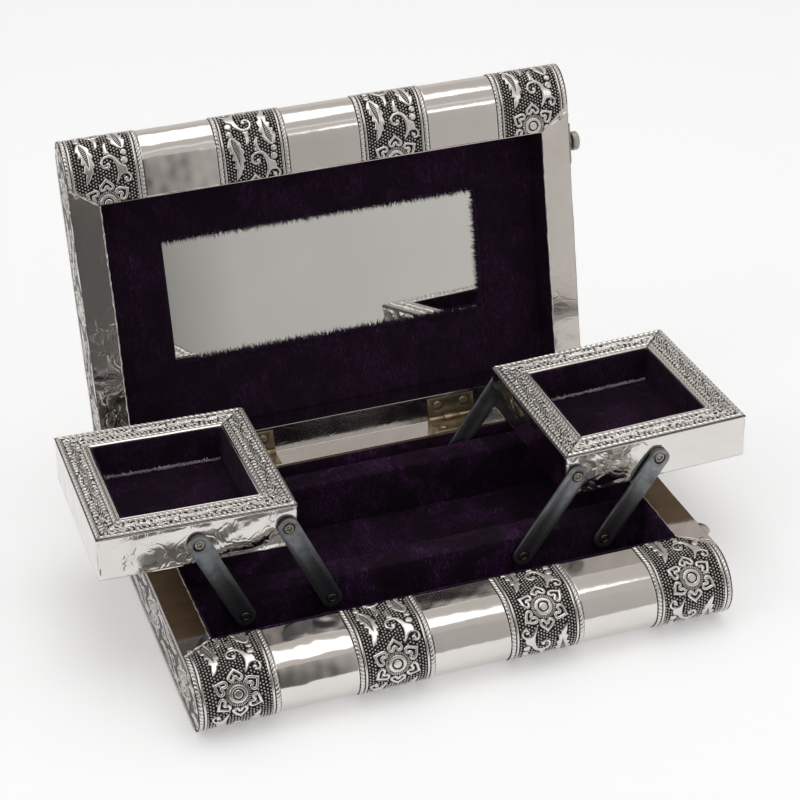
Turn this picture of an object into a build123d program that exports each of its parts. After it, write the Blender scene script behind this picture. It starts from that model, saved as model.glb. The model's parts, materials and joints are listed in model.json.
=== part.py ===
"""Vanity box: a shallow case and a matching lid, both with a half-round front, a mirror in the
lid and two trays that swing out on flat steel links.  Millimetres, +Z up, +Y to the back.
The origin is the centre of the footprint on the table.  The lid stands open at lid_open."""
import os
from itertools import pairwise
from math import asin, cos, degrees, hypot, radians, sin

from build123d import *

os.makedirs("parts", exist_ok=True)

# ---- Case and lid ---------------------------------------------------------------------------
box_length = 254.0          # X, over the side foils
box_depth = 170.4           # Y, back foil to the tip of the nose
base_height = 33.8
lid_height = 26.4
side_wall = 14.4            # wall thicknesses include their foil
back_wall = 13.0
front_flat = 12.0           # flat top of the front rail, behind the nose
nose_depth = 18.0           # semi-depth of the half-round front
bottom_board = 4.0
lid_board = 3.2
foil = 0.4                  # plain metal sheet
band_sheet = 0.8            # embossed metal sheet
lid_open = 100.6            # opening angle of the lid as it stands
rim_gap = 0.15              # air between the closed rims

# ---- Metal bands across the front -----------------------------------------------------------
band_width = 34.8           # embossed; the two end bands run on to the side foils
plain_width = 36.6
band_count = 4
band_seam = 0.1             # air between neighbouring bands

# ---- Velvet and inner boards ----------------------------------------------------------------
velvet = 1.2
divider_height = 30.0       # top of the velvet, above the table
divider_thick = 15.0
divider_gap = 0.3           # end of a divider to the wall lining

# ---- Trays ----------------------------------------------------------------------------------
tray_width = 92.6
tray_depth = 92.7
tray_height = 21.9
tray_wall = 14.2            # with foil
tray_floor = 3.0
glue_line = 0.05            # between the ends of a tray's side boards and its front and back
frame_sheet = 0.6           # embossed sheet on the tray's rim
tray_back_gap = 4.0         # tray's back face to the case's back wall
tray_tip = 1.8              # how far a swung-out tray tips up, from play in its outer pivots
rest_clearance = 0.3        # stowed tray above the divider

# ---- Links and rivets -----------------------------------------------------------------------
link_width = 10.0
link_thick = 1.6
link_spacing = 41.5         # between the two links of a pair
pivot_height = 20.8         # lower pivots above the table
pivot_setback = 44.3        # middle of a pair of lower pivots to the case's inner wall
pivot_inset = 5.1           # inner upper pivot to the tray's inner end
meeting_gap = 0.8           # stowed tray's inner end to the box's middle
tray_pivot_height = 11.2    # upper pivots above the tray's bottom
left_swing = 113.6          # link angles at rest, from horizontal inwards
right_swing = 125.0
rivet_radius = 1.6
collar_radius = 3.6
collar_thick = 0.9          # spaces a link off the board it is riveted to
head_radius = 3.3
head_thick = 0.8
rivet_grip = 5.0            # shank inside the wood
running_fit = 0.05
loose_fit = 1.5             # radial play in the outer link's upper hole

# ---- Hinges ---------------------------------------------------------------------------------
hinge_length = 25.0
hinge_centre = 53.5         # from the box's middle
leaf_width = 12.0
leaf_thick = 1.0
knuckle_radius = 2.0
knuckle_gap = 0.2
pin_radius = 1.0
leaf_screw_radius = 2.3
leaf_screw_pitch = 14.0
leaf_screw_length = 7.0
leaf_screw_shank = 1.0

# ---- Mirror ---------------------------------------------------------------------------------
mirror_window_length = 163.6
mirror_window_height = 64.8
mirror_window_x = 0.0       # middle of the window, from the box's middle
mirror_window_y = 80.8      # middle of the window, from the hinge axis
mirror_thick = 2.0
mirror_lap = 5.0            # glass behind the velvet on each side
velvet_panel = 2.0

# ---- Latch and nails ------------------------------------------------------------------------
latch_setback = 38.9        # knob's axis behind the tip of the nose
latch_plate_length = 39.0
latch_plate_width = 9.0
latch_plate_thick = 0.8
latch_plate_inset = 2.5     # plate's edge above the lid's rim
hook_thick = 1.2
hook_width = 6.0
hook_tail = 9.0
hook_play = 0.3             # hook's notch round the stud
latch_air = 0.1             # between the stacked pieces of the latch
knob_radius = 4.8
knob_neck_radius = 2.2
knob_neck_length = 1.0
knob_length = 3.6
knob_edge = 0.9
stud_setback = 33.4         # stud's axis behind the tip of the nose
stud_drop = 3.4             # stud's axis below the case's rim
stud_radius = 1.6
stud_head_radius = 3.8
stud_head_thick = 1.5
nail_radius = 0.6
nail_head_radius = 1.4
nail_head_thick = 0.6
nail_length = 7.0
nail_side_inset = 4.1
nail_front_inset = 5.4       # ahead of the opening's front edge

# ---- Places worked out from the sizes above --------------------------------------------------
half_length = box_length / 2
hinge_y = box_depth / 2
front_y = -box_depth / 2
nose_y = front_y + nose_depth
inner_front_y = nose_y + front_flat
inner_back_y = hinge_y - back_wall
inner_half = half_length - side_wall
floor_z = bottom_board + velvet
tray_front_y = inner_back_y - tray_back_gap - tray_depth
tray_back_y = tray_front_y + tray_depth
link_air = collar_thick + link_thick
pivot_centre = inner_half - pivot_setback
stowed_run = pivot_centre - link_spacing / 2 - meeting_gap - pivot_inset
stowed_rise = divider_height + rest_clearance + tray_pivot_height - pivot_height
link_length = hypot(stowed_run, stowed_rise)
stowed_swing = degrees(asin(stowed_rise / link_length))
recess_depth = lid_height - foil - lid_board - mirror_thick - velvet_panel
latch_from_hinge = box_depth - latch_setback
stud_from_hinge = box_depth - stud_setback
latch_height = latch_plate_inset + latch_plate_width / 2
hook_reach = hypot(stud_from_hinge - latch_from_hinge, latch_height + stud_drop)
tip_rise = link_spacing * sin(radians(tray_tip))

base_top = Plane(origin=(0, hinge_y, base_height), x_dir=(1, 0, 0), z_dir=(0, 0, 1))
lid_rim = Plane(
    origin=(0, hinge_y, base_height),
    x_dir=(1, 0, 0),
    z_dir=(0, sin(radians(lid_open)), cos(radians(lid_open))),
)


def keep(builder, name):
    """Label a finished sub-part and write it to its own file."""
    builder.part.label = name
    export_step(builder.part, f"parts/{name}.step")


def block(plane, x0, x1, y0, y1, z0, z1, mode=Mode.ADD):
    """A box between two corners given in a plane's own coordinates."""
    with BuildSketch(plane.offset(z0)) as outline:
        with Locations(((x0 + x1) / 2, (y0 + y1) / 2)):
            Rectangle(x1 - x0, y1 - y0)
    extrude(outline.sketch, amount=z1 - z0, mode=mode)


def disc(plane, x, y, z0, z1, radius, mode=Mode.ADD):
    """A cylinder along a plane's normal."""
    with BuildSketch(plane.offset(z0)) as outline:
        with Locations((x, y)):
            Circle(radius)
    extrude(outline.sketch, amount=z1 - z0, mode=mode)


def across(plane, x):
    """The plane at x whose sketches lie in the given plane's Y and Z, facing +X."""
    return Plane(origin=plane.from_local_coords((x, 0, 0)), x_dir=plane.y_dir, z_dir=plane.x_dir)


def rail_profile(z0, z1, inset, mode=Mode.ADD):
    """Front rail's section in the rim's own Y and Z: flat at the back, half an ellipse in front."""
    middle = (z0 + z1) / 2
    half = (z1 - z0) / 2 - inset
    nose = nose_y - hinge_y
    back = inner_front_y - hinge_y
    with BuildLine() as edge:
        EllipticalCenterArc((nose, middle), nose_depth - inset, half, 90, arc_size=180)
        Polyline((nose, middle - half), (back, middle - half), (back, middle + half), (nose, middle + half))
    make_face(edge.line, mode=mode)


def rail(plane, z0, z1, x0, x1, inset, thick=None):
    """Front rail, or with thick a sheet bent round it, between two X positions."""
    with BuildSketch(across(plane, x0)) as section:
        rail_profile(z0, z1, inset)
        if thick:
            rail_profile(z0, z1, inset + thick, Mode.SUBTRACT)
    extrude(section.sketch, amount=x1 - x0)


def hinge_notches(plane, slack=0.2):
    """Room for the hinge knuckles along the back edge of a wall, foil or rim strip."""
    for side in (-1, 1):
        middle = side * hinge_centre
        with BuildSketch(across(plane, middle - hinge_length / 2 - slack)) as notch:
            Circle(knuckle_radius + slack)
        extrude(notch.sketch, amount=hinge_length + 2 * slack, mode=Mode.SUBTRACT)


def leaf_seats(plane, up):
    """Mortises for the hinge leaves in a rim; up is -1 in the case and 1 in the lid."""
    for side in (-1, 1):
        x0 = side * hinge_centre - hinge_length / 2
        low, high = sorted((0, up * (leaf_thick + rim_gap)))
        block(plane, x0, x0 + hinge_length, -leaf_width, 0, low, high, mode=Mode.SUBTRACT)


def screw_places(side):
    """X and Y of the two screws of one hinge leaf."""
    for end in (-1, 1):
        yield side * hinge_centre + end * leaf_screw_pitch / 2, -leaf_width * 0.6


def screw_holes(plane, up, radius):
    """Holes through or into a piece for the hinge screws."""
    for side in (-1, 1):
        for x, y in screw_places(side):
            low, high = sorted((0, up * (leaf_thick + leaf_screw_length)))
            disc(plane, x, y, low, high, radius, mode=Mode.SUBTRACT)


def embossed_spans():
    """X ends of the embossed bands; the plain ones fill the gaps between them."""
    pitch = band_width + plain_width
    ends = half_length - foil
    for index in range(band_count):
        middle = (index - (band_count - 1) / 2) * pitch
        x0 = -ends if index == 0 else middle - band_width / 2
        x1 = ends if index == band_count - 1 else middle + band_width / 2
        yield x0, x1


# ---- The two shells: wood, foil and bands, the same for case and lid --------------------------
def shell(prefix, plane, height, board, up):
    """Wooden walls, front rail and metal skins of one half.

    plane is the half's rim, up is -1 for the case, whose walls hang below the rim, 1 for the lid.
    """
    def span(near, far):
        return tuple(sorted((up * near, up * far)))

    rim_z = rim_gap / 2
    outer = half_length
    wood = outer - foil
    front = inner_front_y - hinge_y
    full = span(rim_z, height)
    body = span(rim_z + foil, height - board)
    inner_back = -back_wall

    with BuildPart() as panel:
        block(plane, -wood, wood, front, -foil, *span(height - board, height - (foil if up > 0 else 0)))
    keep(panel, f"{prefix}_board" if up > 0 else f"{prefix}_bottom_board")

    with BuildPart() as side_walls:
        for side in (-1, 1):
            x0, x1 = sorted((side * wood, side * inner_half))
            block(plane, x0, x1, front, -foil, *body)
        if up < 0:
            stud_hole(plane)
        else:
            latch_hole(plane)
    keep(side_walls, f"{prefix}_side_walls")

    with BuildPart() as back:
        block(plane, -inner_half, inner_half, inner_back, -foil, *body)
        hinge_notches(plane)
        leaf_seats(plane, up)
        screw_holes(plane, up, leaf_screw_shank)
    keep(back, f"{prefix}_back_wall")

    with BuildPart() as front_rail:
        rail(plane, *full, -wood, wood, band_sheet)
        nail_holes(plane, up)
    keep(front_rail, f"{prefix}_front_rail")

    with BuildPart() as side_foils:
        for side in (-1, 1):
            x0, x1 = sorted((side * outer, side * wood))
            rail(plane, *full, x0, x1, 0)
            block(plane, x0, x1, front, 0, *full)
        if up < 0:
            stud_hole(plane)
        else:
            latch_hole(plane)
    keep(side_foils, f"{prefix}_side_foils")

    with BuildPart() as back_foil:
        block(plane, -wood, wood, -foil, 0, *full)
        hinge_notches(plane)
    keep(back_foil, f"{prefix}_back_foil")

    with BuildPart() as rim_foil:
        with BuildSketch(plane.offset(full[0] if up > 0 else full[1] - foil)):
            for side in (-1, 1):
                with BuildLine():
                    Polyline(
                        (side * wood, -foil), (side * wood, front - front_flat),
                        (side * inner_half, front), (side * inner_half, -foil), close=True,
                    )
                make_face()
            with Locations((0, (inner_back - foil) / 2)):
                Rectangle(2 * inner_half, -inner_back - foil)
        extrude(amount=foil)
        hinge_notches(plane)
        leaf_seats(plane, up)
        nail_holes(plane, up)
    keep(rim_foil, f"{prefix}_rim_foil")

    with BuildPart() as embossed:
        for x0, x1 in embossed_spans():
            rail(plane, *full, x0, x1, 0, band_sheet)
        nail_holes(plane, up)
        for side in (-1, 1):
            with BuildSketch(plane.offset(full[0] if up > 0 else full[1] - band_sheet)):
                with BuildLine():
                    Polyline(
                        (side * outer, front), (side * outer, front - front_flat * (1 + foil / side_wall)),
                        (side * (inner_half - band_seam), front), close=True,
                    )
                make_face()
            extrude(amount=band_sheet, mode=Mode.SUBTRACT)
    keep(embossed, f"{prefix}_embossed_bands")

    with BuildPart() as plain:
        for (_, x0), (x1, _) in pairwise(embossed_spans()):
            rail(plane, *full, x0 + band_seam, x1 - band_seam, band_sheet - foil, foil)
    keep(plain, f"{prefix}_plain_bands")


def nail_places():
    """X and Y of the brass nails that hold the front ends of the rim foils."""
    for side in (-1, 1):
        yield side * (half_length - nail_side_inset), inner_front_y - hinge_y - nail_front_inset


def nail_holes(plane, up):
    """Holes for the nails' shanks."""
    for x, y in nail_places():
        low, high = sorted((0, up * nail_length))
        disc(plane, x, y, low, high, nail_radius, mode=Mode.SUBTRACT)


def nails(prefix, plane, up):
    """Brass nails at the front ends of the rim foils."""
    rim_z = rim_gap / 2
    with BuildPart() as part:
        for x, y in nail_places():
            disc(plane, x, y, *sorted((up * rim_z, up * nail_length)), nail_radius)
            disc(plane, x, y, *sorted((up * rim_z, up * (rim_z - nail_head_thick))), nail_head_radius)
    keep(part, f"{prefix}_rim_nails")


def stud_hole(plane):
    """Hole for the latch's stud, through the side foil into the case's wall."""
    at = across(plane, half_length)
    disc(at, -stud_from_hinge, -stud_drop, -rivet_grip, 0, stud_radius, mode=Mode.SUBTRACT)


def latch_hole(plane):
    """Hole for the latch's pivot, through the side foil into the lid's wall."""
    at = across(plane, half_length)
    disc(at, -latch_from_hinge, latch_height, -rivet_grip, 0, knob_neck_radius, mode=Mode.SUBTRACT)


shell("base", base_top, base_height, bottom_board, -1)
shell("lid", lid_rim, lid_height, lid_board, 1)
nails("base", base_top, -1)
nails("lid", lid_rim, 1)


# ---- Inside the case ------------------------------------------------------------------------
lining_half = inner_half - velvet
channel_front_y = inner_front_y + velvet
well_back_y = tray_back_y - divider_thick
lining_top = base_height - rim_gap / 2 - foil


def lower_pivots():
    """Side, X and whether it is the inner one, for each place that carries a lower pivot."""
    for side in (-1, 1):
        for inner in (True, False):
            yield side, side * (pivot_centre - link_spacing / 2 * (1 if inner else -1)), inner


with BuildPart() as floor_lining:
    block(Plane.XY, -inner_half, inner_half, inner_front_y, inner_back_y, bottom_board, floor_z)
keep(floor_lining, "base_floor_lining")

with BuildPart() as wall_linings:
    for edge in (-1, 1):
        x0, x1 = sorted((edge * inner_half, edge * lining_half))
        block(Plane.XY, x0, x1, inner_front_y, inner_back_y, floor_z, lining_top)
    block(Plane.XY, -lining_half, lining_half, inner_front_y, channel_front_y, floor_z, lining_top)
keep(wall_linings, "base_wall_linings")


def divider(name, y0, y1, face_y, inward):
    """A board along the case that carries four lower pivots, wrapped in velvet over the top."""
    end = lining_half - divider_gap
    grip = sorted((face_y, face_y + inward * rivet_grip))
    with BuildPart() as board:
        block(Plane.XY, -end, end, y0 + velvet, y1 - velvet, floor_z, divider_height - velvet)
        for _, x, _ in lower_pivots():
            disc(Plane.XZ, x, pivot_height, -grip[1], -grip[0], rivet_radius, mode=Mode.SUBTRACT)
    keep(board, f"{name}_divider")
    with BuildPart() as cover:
        block(Plane.XY, -end, end, y0, y1, floor_z, divider_height)
        block(Plane.XY, -end, end, y0 + velvet, y1 - velvet, floor_z, divider_height - velvet, mode=Mode.SUBTRACT)
        for _, x, _ in lower_pivots():
            disc(Plane.XZ, x, pivot_height, -grip[1], -grip[0], rivet_radius, mode=Mode.SUBTRACT)
    keep(cover, f"{name}_divider_velvet")


divider("front", tray_front_y, tray_front_y + divider_thick, tray_front_y, 1)
divider("back", well_back_y, tray_back_y, tray_back_y, -1)


def rivet(x, z, face_y, outward, plane=Plane.XZ):
    """A shouldered rivet: shank into the wood, collar on its face, link seat and head outside."""
    for near, far, radius in (
        (-rivet_grip, link_air, rivet_radius),
        (0, collar_thick, collar_radius),
        (link_air + running_fit, link_air + running_fit + head_thick, head_radius),
        (link_air, link_air + running_fit, rivet_radius),
    ):
        ends = sorted((face_y + outward * near, face_y + outward * far))
        disc(plane, x, z, -ends[1], -ends[0], radius)


with BuildPart() as base_rivets:
    for _, x, _ in lower_pivots():
        rivet(x, pivot_height, tray_front_y, -1)
        rivet(x, pivot_height, tray_back_y, 1)
keep(base_rivets, "base_pivot_rivets")


# ---- Links and trays ------------------------------------------------------------------------
def link_direction(side):
    """Unit X and Z from a lower pivot to the upper one at rest."""
    angle = radians(left_swing if side < 0 else right_swing)
    return -side * cos(angle), sin(angle)


def links(name, side, x, inner):
    """A link in front and its twin behind, on one pair of lower pivots."""
    along_x, along_z = link_direction(side)
    length = link_length if inner else link_length + tip_rise / 2
    play = running_fit if inner else loose_fit
    with BuildPart() as pair:
        for y in (tray_front_y - link_air, tray_back_y + collar_thick):
            at = Plane(origin=(x, y, pivot_height), x_dir=(along_x, 0, along_z), z_dir=(0, 1, 0))
            with BuildSketch(at):
                with Locations((length / 2, 0)):
                    SlotCenterToCenter(length, link_width)
                Circle(rivet_radius + running_fit, mode=Mode.SUBTRACT)
                with Locations((length, 0)):
                    Circle(rivet_radius + play, mode=Mode.SUBTRACT)
            extrude(amount=link_thick)
    keep(pair, name)


def tray(prefix, side):
    """A tray built round its inner upper pivot: boards, floor, foil, embossed rim, velvet, rivets."""
    along_x, along_z = link_direction(side)
    tip = radians(tray_tip)
    pivot_x = side * (pivot_centre - link_spacing / 2) + along_x * link_length
    at = Plane(
        origin=(pivot_x, 0, pivot_height + along_z * link_length),
        x_dir=(cos(tip), 0, side * sin(tip)),
        z_dir=(-side * sin(tip), 0, cos(tip)),
    )
    middle = side * (tray_width / 2 - pivot_inset)
    x0, x1 = middle - tray_width / 2, middle + tray_width / 2
    y0, y1 = tray_front_y, tray_back_y
    z0 = -tray_pivot_height
    z1 = z0 + tray_height
    wood_top = z1 - frame_sheet
    pocket = (x0 + tray_wall, x1 - tray_wall, y0 + tray_wall, y1 - tray_wall)
    upright = Plane(origin=at.origin, x_dir=at.x_dir, z_dir=(0, -1, 0))
    rivet_xs = (0, side * link_spacing)

    def rivet_bores():
        for x in rivet_xs:
            disc(upright, x, 0, -y0 - rivet_grip, -y0, rivet_radius, mode=Mode.SUBTRACT)
            disc(upright, x, 0, -y1, -y1 + rivet_grip, rivet_radius, mode=Mode.SUBTRACT)

    with BuildPart() as floor:
        block(at, x0 + foil, x1 - foil, y0 + foil, y1 - foil, z0, z0 + tray_floor)
    keep(floor, f"{prefix}_tray_floor")

    with BuildPart() as walls:
        for near, far in ((x0 + foil, pocket[0]), (pocket[1], x1 - foil)):
            block(at, near, far, pocket[2] + glue_line, pocket[3] - glue_line, z0 + tray_floor, wood_top)
        for near, far in ((y0 + foil, pocket[2]), (pocket[3], y1 - foil)):
            block(at, x0 + foil, x1 - foil, near, far, z0 + tray_floor, wood_top)
        rivet_bores()
    keep(walls, f"{prefix}_tray_walls")

    with BuildPart() as skin:
        block(at, x0, x1, y0, y1, z0, wood_top)
        block(at, x0 + foil, x1 - foil, y0 + foil, y1 - foil, z0, wood_top, mode=Mode.SUBTRACT)
        rivet_bores()
    keep(skin, f"{prefix}_tray_foil")

    with BuildPart() as rim:
        block(at, x0, x1, y0, y1, wood_top, z1)
        block(at, *pocket, wood_top, z1, mode=Mode.SUBTRACT)
    keep(rim, f"{prefix}_tray_frame")

    with BuildPart() as lining:
        block(at, *pocket, z0 + tray_floor, wood_top)
        inset = (pocket[0] + velvet, pocket[1] - velvet, pocket[2] + velvet, pocket[3] - velvet)
        block(at, *inset, z0 + tray_floor + velvet, wood_top, mode=Mode.SUBTRACT)
    keep(lining, f"{prefix}_tray_lining")

    with BuildPart() as rivets:
        for x in rivet_xs:
            rivet(x, 0, y0, -1, upright)
            rivet(x, 0, y1, 1, upright)
    keep(rivets, f"{prefix}_tray_rivets")


for side, x, inner in lower_pivots():
    hand = "left" if side < 0 else "right"
    links(f"{hand}_{'inner' if inner else 'outer'}_links", side, x, inner)
tray("left", -1)
tray("right", 1)


# ---- Inside the lid -------------------------------------------------------------------------
panel_low = recess_depth
glass_low = recess_depth + velvet_panel
board_low = glass_low + mirror_thick
recess_front = inner_front_y - hinge_y
recess_back = -back_wall
window_y = -mirror_window_y


def window(extra, z0, z1, mode):
    """The mirror's outline, with extra all round, between two depths of the lid."""
    half_x = mirror_window_length / 2 + extra
    half_y = mirror_window_height / 2 + extra
    block(
        lid_rim, mirror_window_x - half_x, mirror_window_x + half_x,
        window_y - half_y, window_y + half_y, z0, z1, mode=mode,
    )


with BuildPart() as mirror:
    window(mirror_lap, glass_low, board_low, Mode.ADD)
keep(mirror, "mirror")

with BuildPart() as mirror_card:
    block(lid_rim, -inner_half, inner_half, recess_front, recess_back, glass_low, board_low)
    window(mirror_lap, glass_low, board_low, Mode.SUBTRACT)
keep(mirror_card, "mirror_card")

with BuildPart() as velvet_sheet:
    block(lid_rim, -inner_half, inner_half, recess_front, recess_back, panel_low, glass_low)
    window(0, panel_low, glass_low, Mode.SUBTRACT)
keep(velvet_sheet, "lid_velvet_panel")

with BuildPart() as recess_foil:
    rim_z = rim_gap / 2 + foil
    block(lid_rim, -inner_half, inner_half, recess_front, recess_back, rim_z, panel_low)
    block(
        lid_rim, -inner_half + foil, inner_half - foil, recess_front + foil, recess_back - foil,
        rim_z, panel_low, mode=Mode.SUBTRACT,
    )
keep(recess_foil, "lid_recess_foil")

with BuildPart() as top_foil:
    block(
        lid_rim, -half_length + foil, half_length - foil, recess_front, -foil,
        lid_height - foil, lid_height,
    )
keep(top_foil, "lid_top_foil")


# ---- Hinges ---------------------------------------------------------------------------------
def knuckle(plane, x0, x1, hole):
    """One barrel of a hinge, with the leaf's root left to the leaf."""
    with BuildSketch(across(plane, x0)) as ring:
        Circle(knuckle_radius)
        Circle(hole, mode=Mode.SUBTRACT)
    extrude(ring.sketch, amount=x1 - x0)


def leaf_set(name, plane, up, barrels, hole):
    """Leaves of both hinges: a flat plate let into the rim and its share of the barrels."""
    low, high = sorted((up * rim_gap / 2, up * (rim_gap / 2 + leaf_thick)))
    with BuildPart() as leaves:
        for side in (-1, 1):
            start = side * hinge_centre - hinge_length / 2
            block(plane, start, start + hinge_length, -leaf_width, -knuckle_radius - knuckle_gap, low, high)
            for near, far in barrels:
                x0 = start + near * hinge_length + knuckle_gap / 2
                x1 = start + far * hinge_length - knuckle_gap / 2
                block(plane, x0, x1, -leaf_width, 0, low, high)
                knuckle(plane, x0, x1, hole)
                bore = across(plane, x0)
                disc(bore, 0, 0, 0, x1 - x0, hole, mode=Mode.SUBTRACT)
            for x, y in screw_places(side):
                disc(plane, x, y, low, high, leaf_screw_radius, mode=Mode.SUBTRACT)
    keep(leaves, name)


leaf_set("hinge_base_leaves", base_top, -1, ((0, 1 / 3), (2 / 3, 1)), pin_radius)
leaf_set("hinge_lid_leaves", lid_rim, 1, ((1 / 3, 2 / 3),), pin_radius + running_fit)

with BuildPart() as pins:
    for side in (-1, 1):
        disc(across(base_top, side * hinge_centre - hinge_length / 2), 0, 0, 0, hinge_length, pin_radius)
keep(pins, "hinge_pins")


def leaf_screws(name, plane, up):
    """Wood screws whose flat heads fill the holes of the leaves."""
    skin = up * rim_gap / 2
    seat = up * (rim_gap / 2 + leaf_thick)
    with BuildPart() as screws:
        for side in (-1, 1):
            for x, y in screw_places(side):
                disc(plane, x, y, *sorted((skin, seat)), leaf_screw_radius)
                disc(plane, x, y, *sorted((skin, up * (leaf_thick + leaf_screw_length))), leaf_screw_shank)
    keep(screws, name)


leaf_screws("base_hinge_screws", base_top, -1)
leaf_screws("lid_hinge_screws", lid_rim, 1)


# ---- Latch on the right-hand side -----------------------------------------------------------
latch_side = across(lid_rim, half_length)
hook_low = latch_plate_thick + latch_air
hook_high = hook_low + hook_thick
knob_low = hook_high + knob_neck_length

with BuildPart() as latch_plate:
    with BuildSketch(latch_side):
        with Locations((-latch_from_hinge, latch_height)):
            SlotOverall(latch_plate_length, latch_plate_width)
            Circle(knob_neck_radius, mode=Mode.SUBTRACT)
    extrude(amount=latch_plate_thick)
keep(latch_plate, "latch_plate")

with BuildPart() as latch_hook:
    with BuildSketch(latch_side.offset(hook_low)):
        with Locations((-latch_from_hinge - (hook_reach - hook_tail) / 2, latch_height)):
            SlotCenterToCenter(hook_reach + hook_tail, hook_width)
        with Locations((-latch_from_hinge, latch_height)):
            Circle(knob_neck_radius + running_fit, mode=Mode.SUBTRACT)
        with Locations((-latch_from_hinge - hook_reach, latch_height)):
            Circle(stud_radius + hook_play, mode=Mode.SUBTRACT)
        with Locations((-latch_from_hinge - hook_reach, latch_height - hook_width / 2)):
            Rectangle(2 * (stud_radius + hook_play), hook_width, mode=Mode.SUBTRACT)
    extrude(amount=hook_thick)
keep(latch_hook, "latch_hook")

with BuildPart() as latch_pivot:
    disc(latch_side, -latch_from_hinge, latch_height, -rivet_grip, hook_high, knob_neck_radius)
keep(latch_pivot, "latch_pivot")

with BuildPart() as latch_knob:
    disc(latch_side, -latch_from_hinge, latch_height, hook_high + latch_air, knob_low, knob_neck_radius)
    disc(latch_side, -latch_from_hinge, latch_height, knob_low, knob_low + knob_length, knob_radius)
    fillet(latch_knob.faces().sort_by(Axis.X)[-1].edges(), knob_edge)
keep(latch_knob, "latch_knob")

stud_side = across(base_top, half_length)
stud_reach = hook_high + latch_air

with BuildPart() as latch_stud:
    disc(stud_side, -stud_from_hinge, -stud_drop, -rivet_grip, stud_reach, stud_radius)
    disc(stud_side, -stud_from_hinge, -stud_drop, stud_reach, stud_reach + stud_head_thick, stud_head_radius)
keep(latch_stud, "latch_stud")

stowed_left = round(left_swing - stowed_swing, 2)
stowed_right = round(right_swing - stowed_swing, 2)
print("stowed link angle", round(stowed_swing, 2), "left travel", stowed_left, "right travel", stowed_right)
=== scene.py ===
# Looks of a metal-clad vanity box: embossed bands, hammered foil, plush, links, rivets and studio.
# Shapes are worked out in millimetres and placed in metres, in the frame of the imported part.
import json
from contextlib import contextmanager
from math import atan2, cos, hypot, pi, radians, sin, sqrt

import bmesh
import bpy
import numpy as np
from bpy.props import FloatProperty, FloatVectorProperty, PointerProperty
from mathutils import Matrix, Vector


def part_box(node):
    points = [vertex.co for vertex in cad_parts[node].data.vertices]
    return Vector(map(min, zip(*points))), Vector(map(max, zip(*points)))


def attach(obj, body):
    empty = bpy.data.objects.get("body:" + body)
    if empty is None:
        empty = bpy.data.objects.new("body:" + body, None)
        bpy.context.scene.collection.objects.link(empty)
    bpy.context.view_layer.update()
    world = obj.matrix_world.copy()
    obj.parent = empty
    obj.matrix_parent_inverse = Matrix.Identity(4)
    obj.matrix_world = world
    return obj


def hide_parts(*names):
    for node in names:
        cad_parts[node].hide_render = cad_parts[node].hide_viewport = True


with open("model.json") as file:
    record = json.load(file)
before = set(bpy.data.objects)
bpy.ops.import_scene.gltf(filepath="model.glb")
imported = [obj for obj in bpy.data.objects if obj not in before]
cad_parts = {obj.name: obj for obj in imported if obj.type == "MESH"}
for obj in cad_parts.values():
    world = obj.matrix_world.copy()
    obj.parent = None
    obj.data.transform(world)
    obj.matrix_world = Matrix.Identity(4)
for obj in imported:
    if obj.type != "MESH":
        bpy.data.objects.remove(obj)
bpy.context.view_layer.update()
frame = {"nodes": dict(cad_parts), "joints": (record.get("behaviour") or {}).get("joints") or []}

bl_info = {
    "name": "Vanity box looks",
    "version": (1, 0, 0),
    "blender": (4, 5, 0),
    "location": "3D View > Sidebar > Vanity box",
    "description": "Embossed metal, plush, links and studio for a vanity box",
    "category": "Object",
}

MM = 0.001
JOINTS = {joint["name"]: joint for joint in frame["joints"]}
SIDES = {"left": -1, "right": 1}


def cad_mm(node, corner, axis):
    """One coordinate of a CAD node's box, in millimetres."""
    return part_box(node)[corner]["xyz".index(axis)] / MM


HINGE = np.array(JOINTS["lid_hinge"]["pos_m"]) / MM
HALF_LENGTH = cad_mm("base_side_foils", 1, "x")
INNER_HALF = cad_mm("base_back_wall", 1, "x")
OPENING_FRONT = cad_mm("base_side_walls", 0, "y") - HINGE[1]
OPENING_BACK = cad_mm("base_back_wall", 0, "y") - HINGE[1]
FLOOR_TOP = cad_mm("base_floor_lining", 1, "z")
BASE_HEIGHT = HINGE[2]


# ---- Sizes and colours that a user would change ----
def length(text, value, help_text):
    """A length property, given in millimetres."""
    return FloatProperty(
        name=text, description=help_text, default=value * MM, min=0.0, precision=5,
        subtype="DISTANCE", unit="LENGTH",
    )


def angle(text, degrees, help_text):
    """An angle property, given in degrees."""
    return FloatProperty(
        name=text, description=help_text, default=radians(degrees), subtype="ANGLE", unit="ROTATION"
    )


def colour(text, value, help_text):
    """A colour property, linear red, green and blue."""
    return FloatVectorProperty(
        name=text, description=help_text, default=value, size=3, min=0.0, max=1.0, subtype="COLOR"
    )


class VanitySizes(bpy.types.PropertyGroup):
    lid_open: angle("Lid opening", 100.6, "How far the lid stands open")
    lid_height: length("Lid height", 26.4, "Height of the lid over its outside face")
    rim_gap: length("Rim gap", 0.15, "Air between the closed rims")
    nose_depth: length("Nose depth", 18.0, "Semi-depth of the half-round front")
    front_flat: length("Front flat", 12.0, "Flat top of the front rail behind the nose")
    band_sheet: length("Band sheet", 0.8, "Depth taken up by an embossed band")
    relief: length("Relief", 0.55, "Height of the embossing above its ground")
    bead_pitch: length("Bead pitch", 1.58, "Distance between neighbouring beads")
    bead_radius: length("Bead radius", 0.5, "Radius of one bead of the ground")
    link_width: length("Link width", 10.0, "Width of a flat link")
    link_thick: length("Link thickness", 1.6, "Thickness of a flat link")
    link_hole: length("Link hole", 2.75, "Radius of a link's holes")
    tray_tip: angle("Tray tip", 1.8, "How far a swung-out tray tips up")
    pile: length("Pile", 2.2, "Length of the plush's pile along its cut edges")


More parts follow.
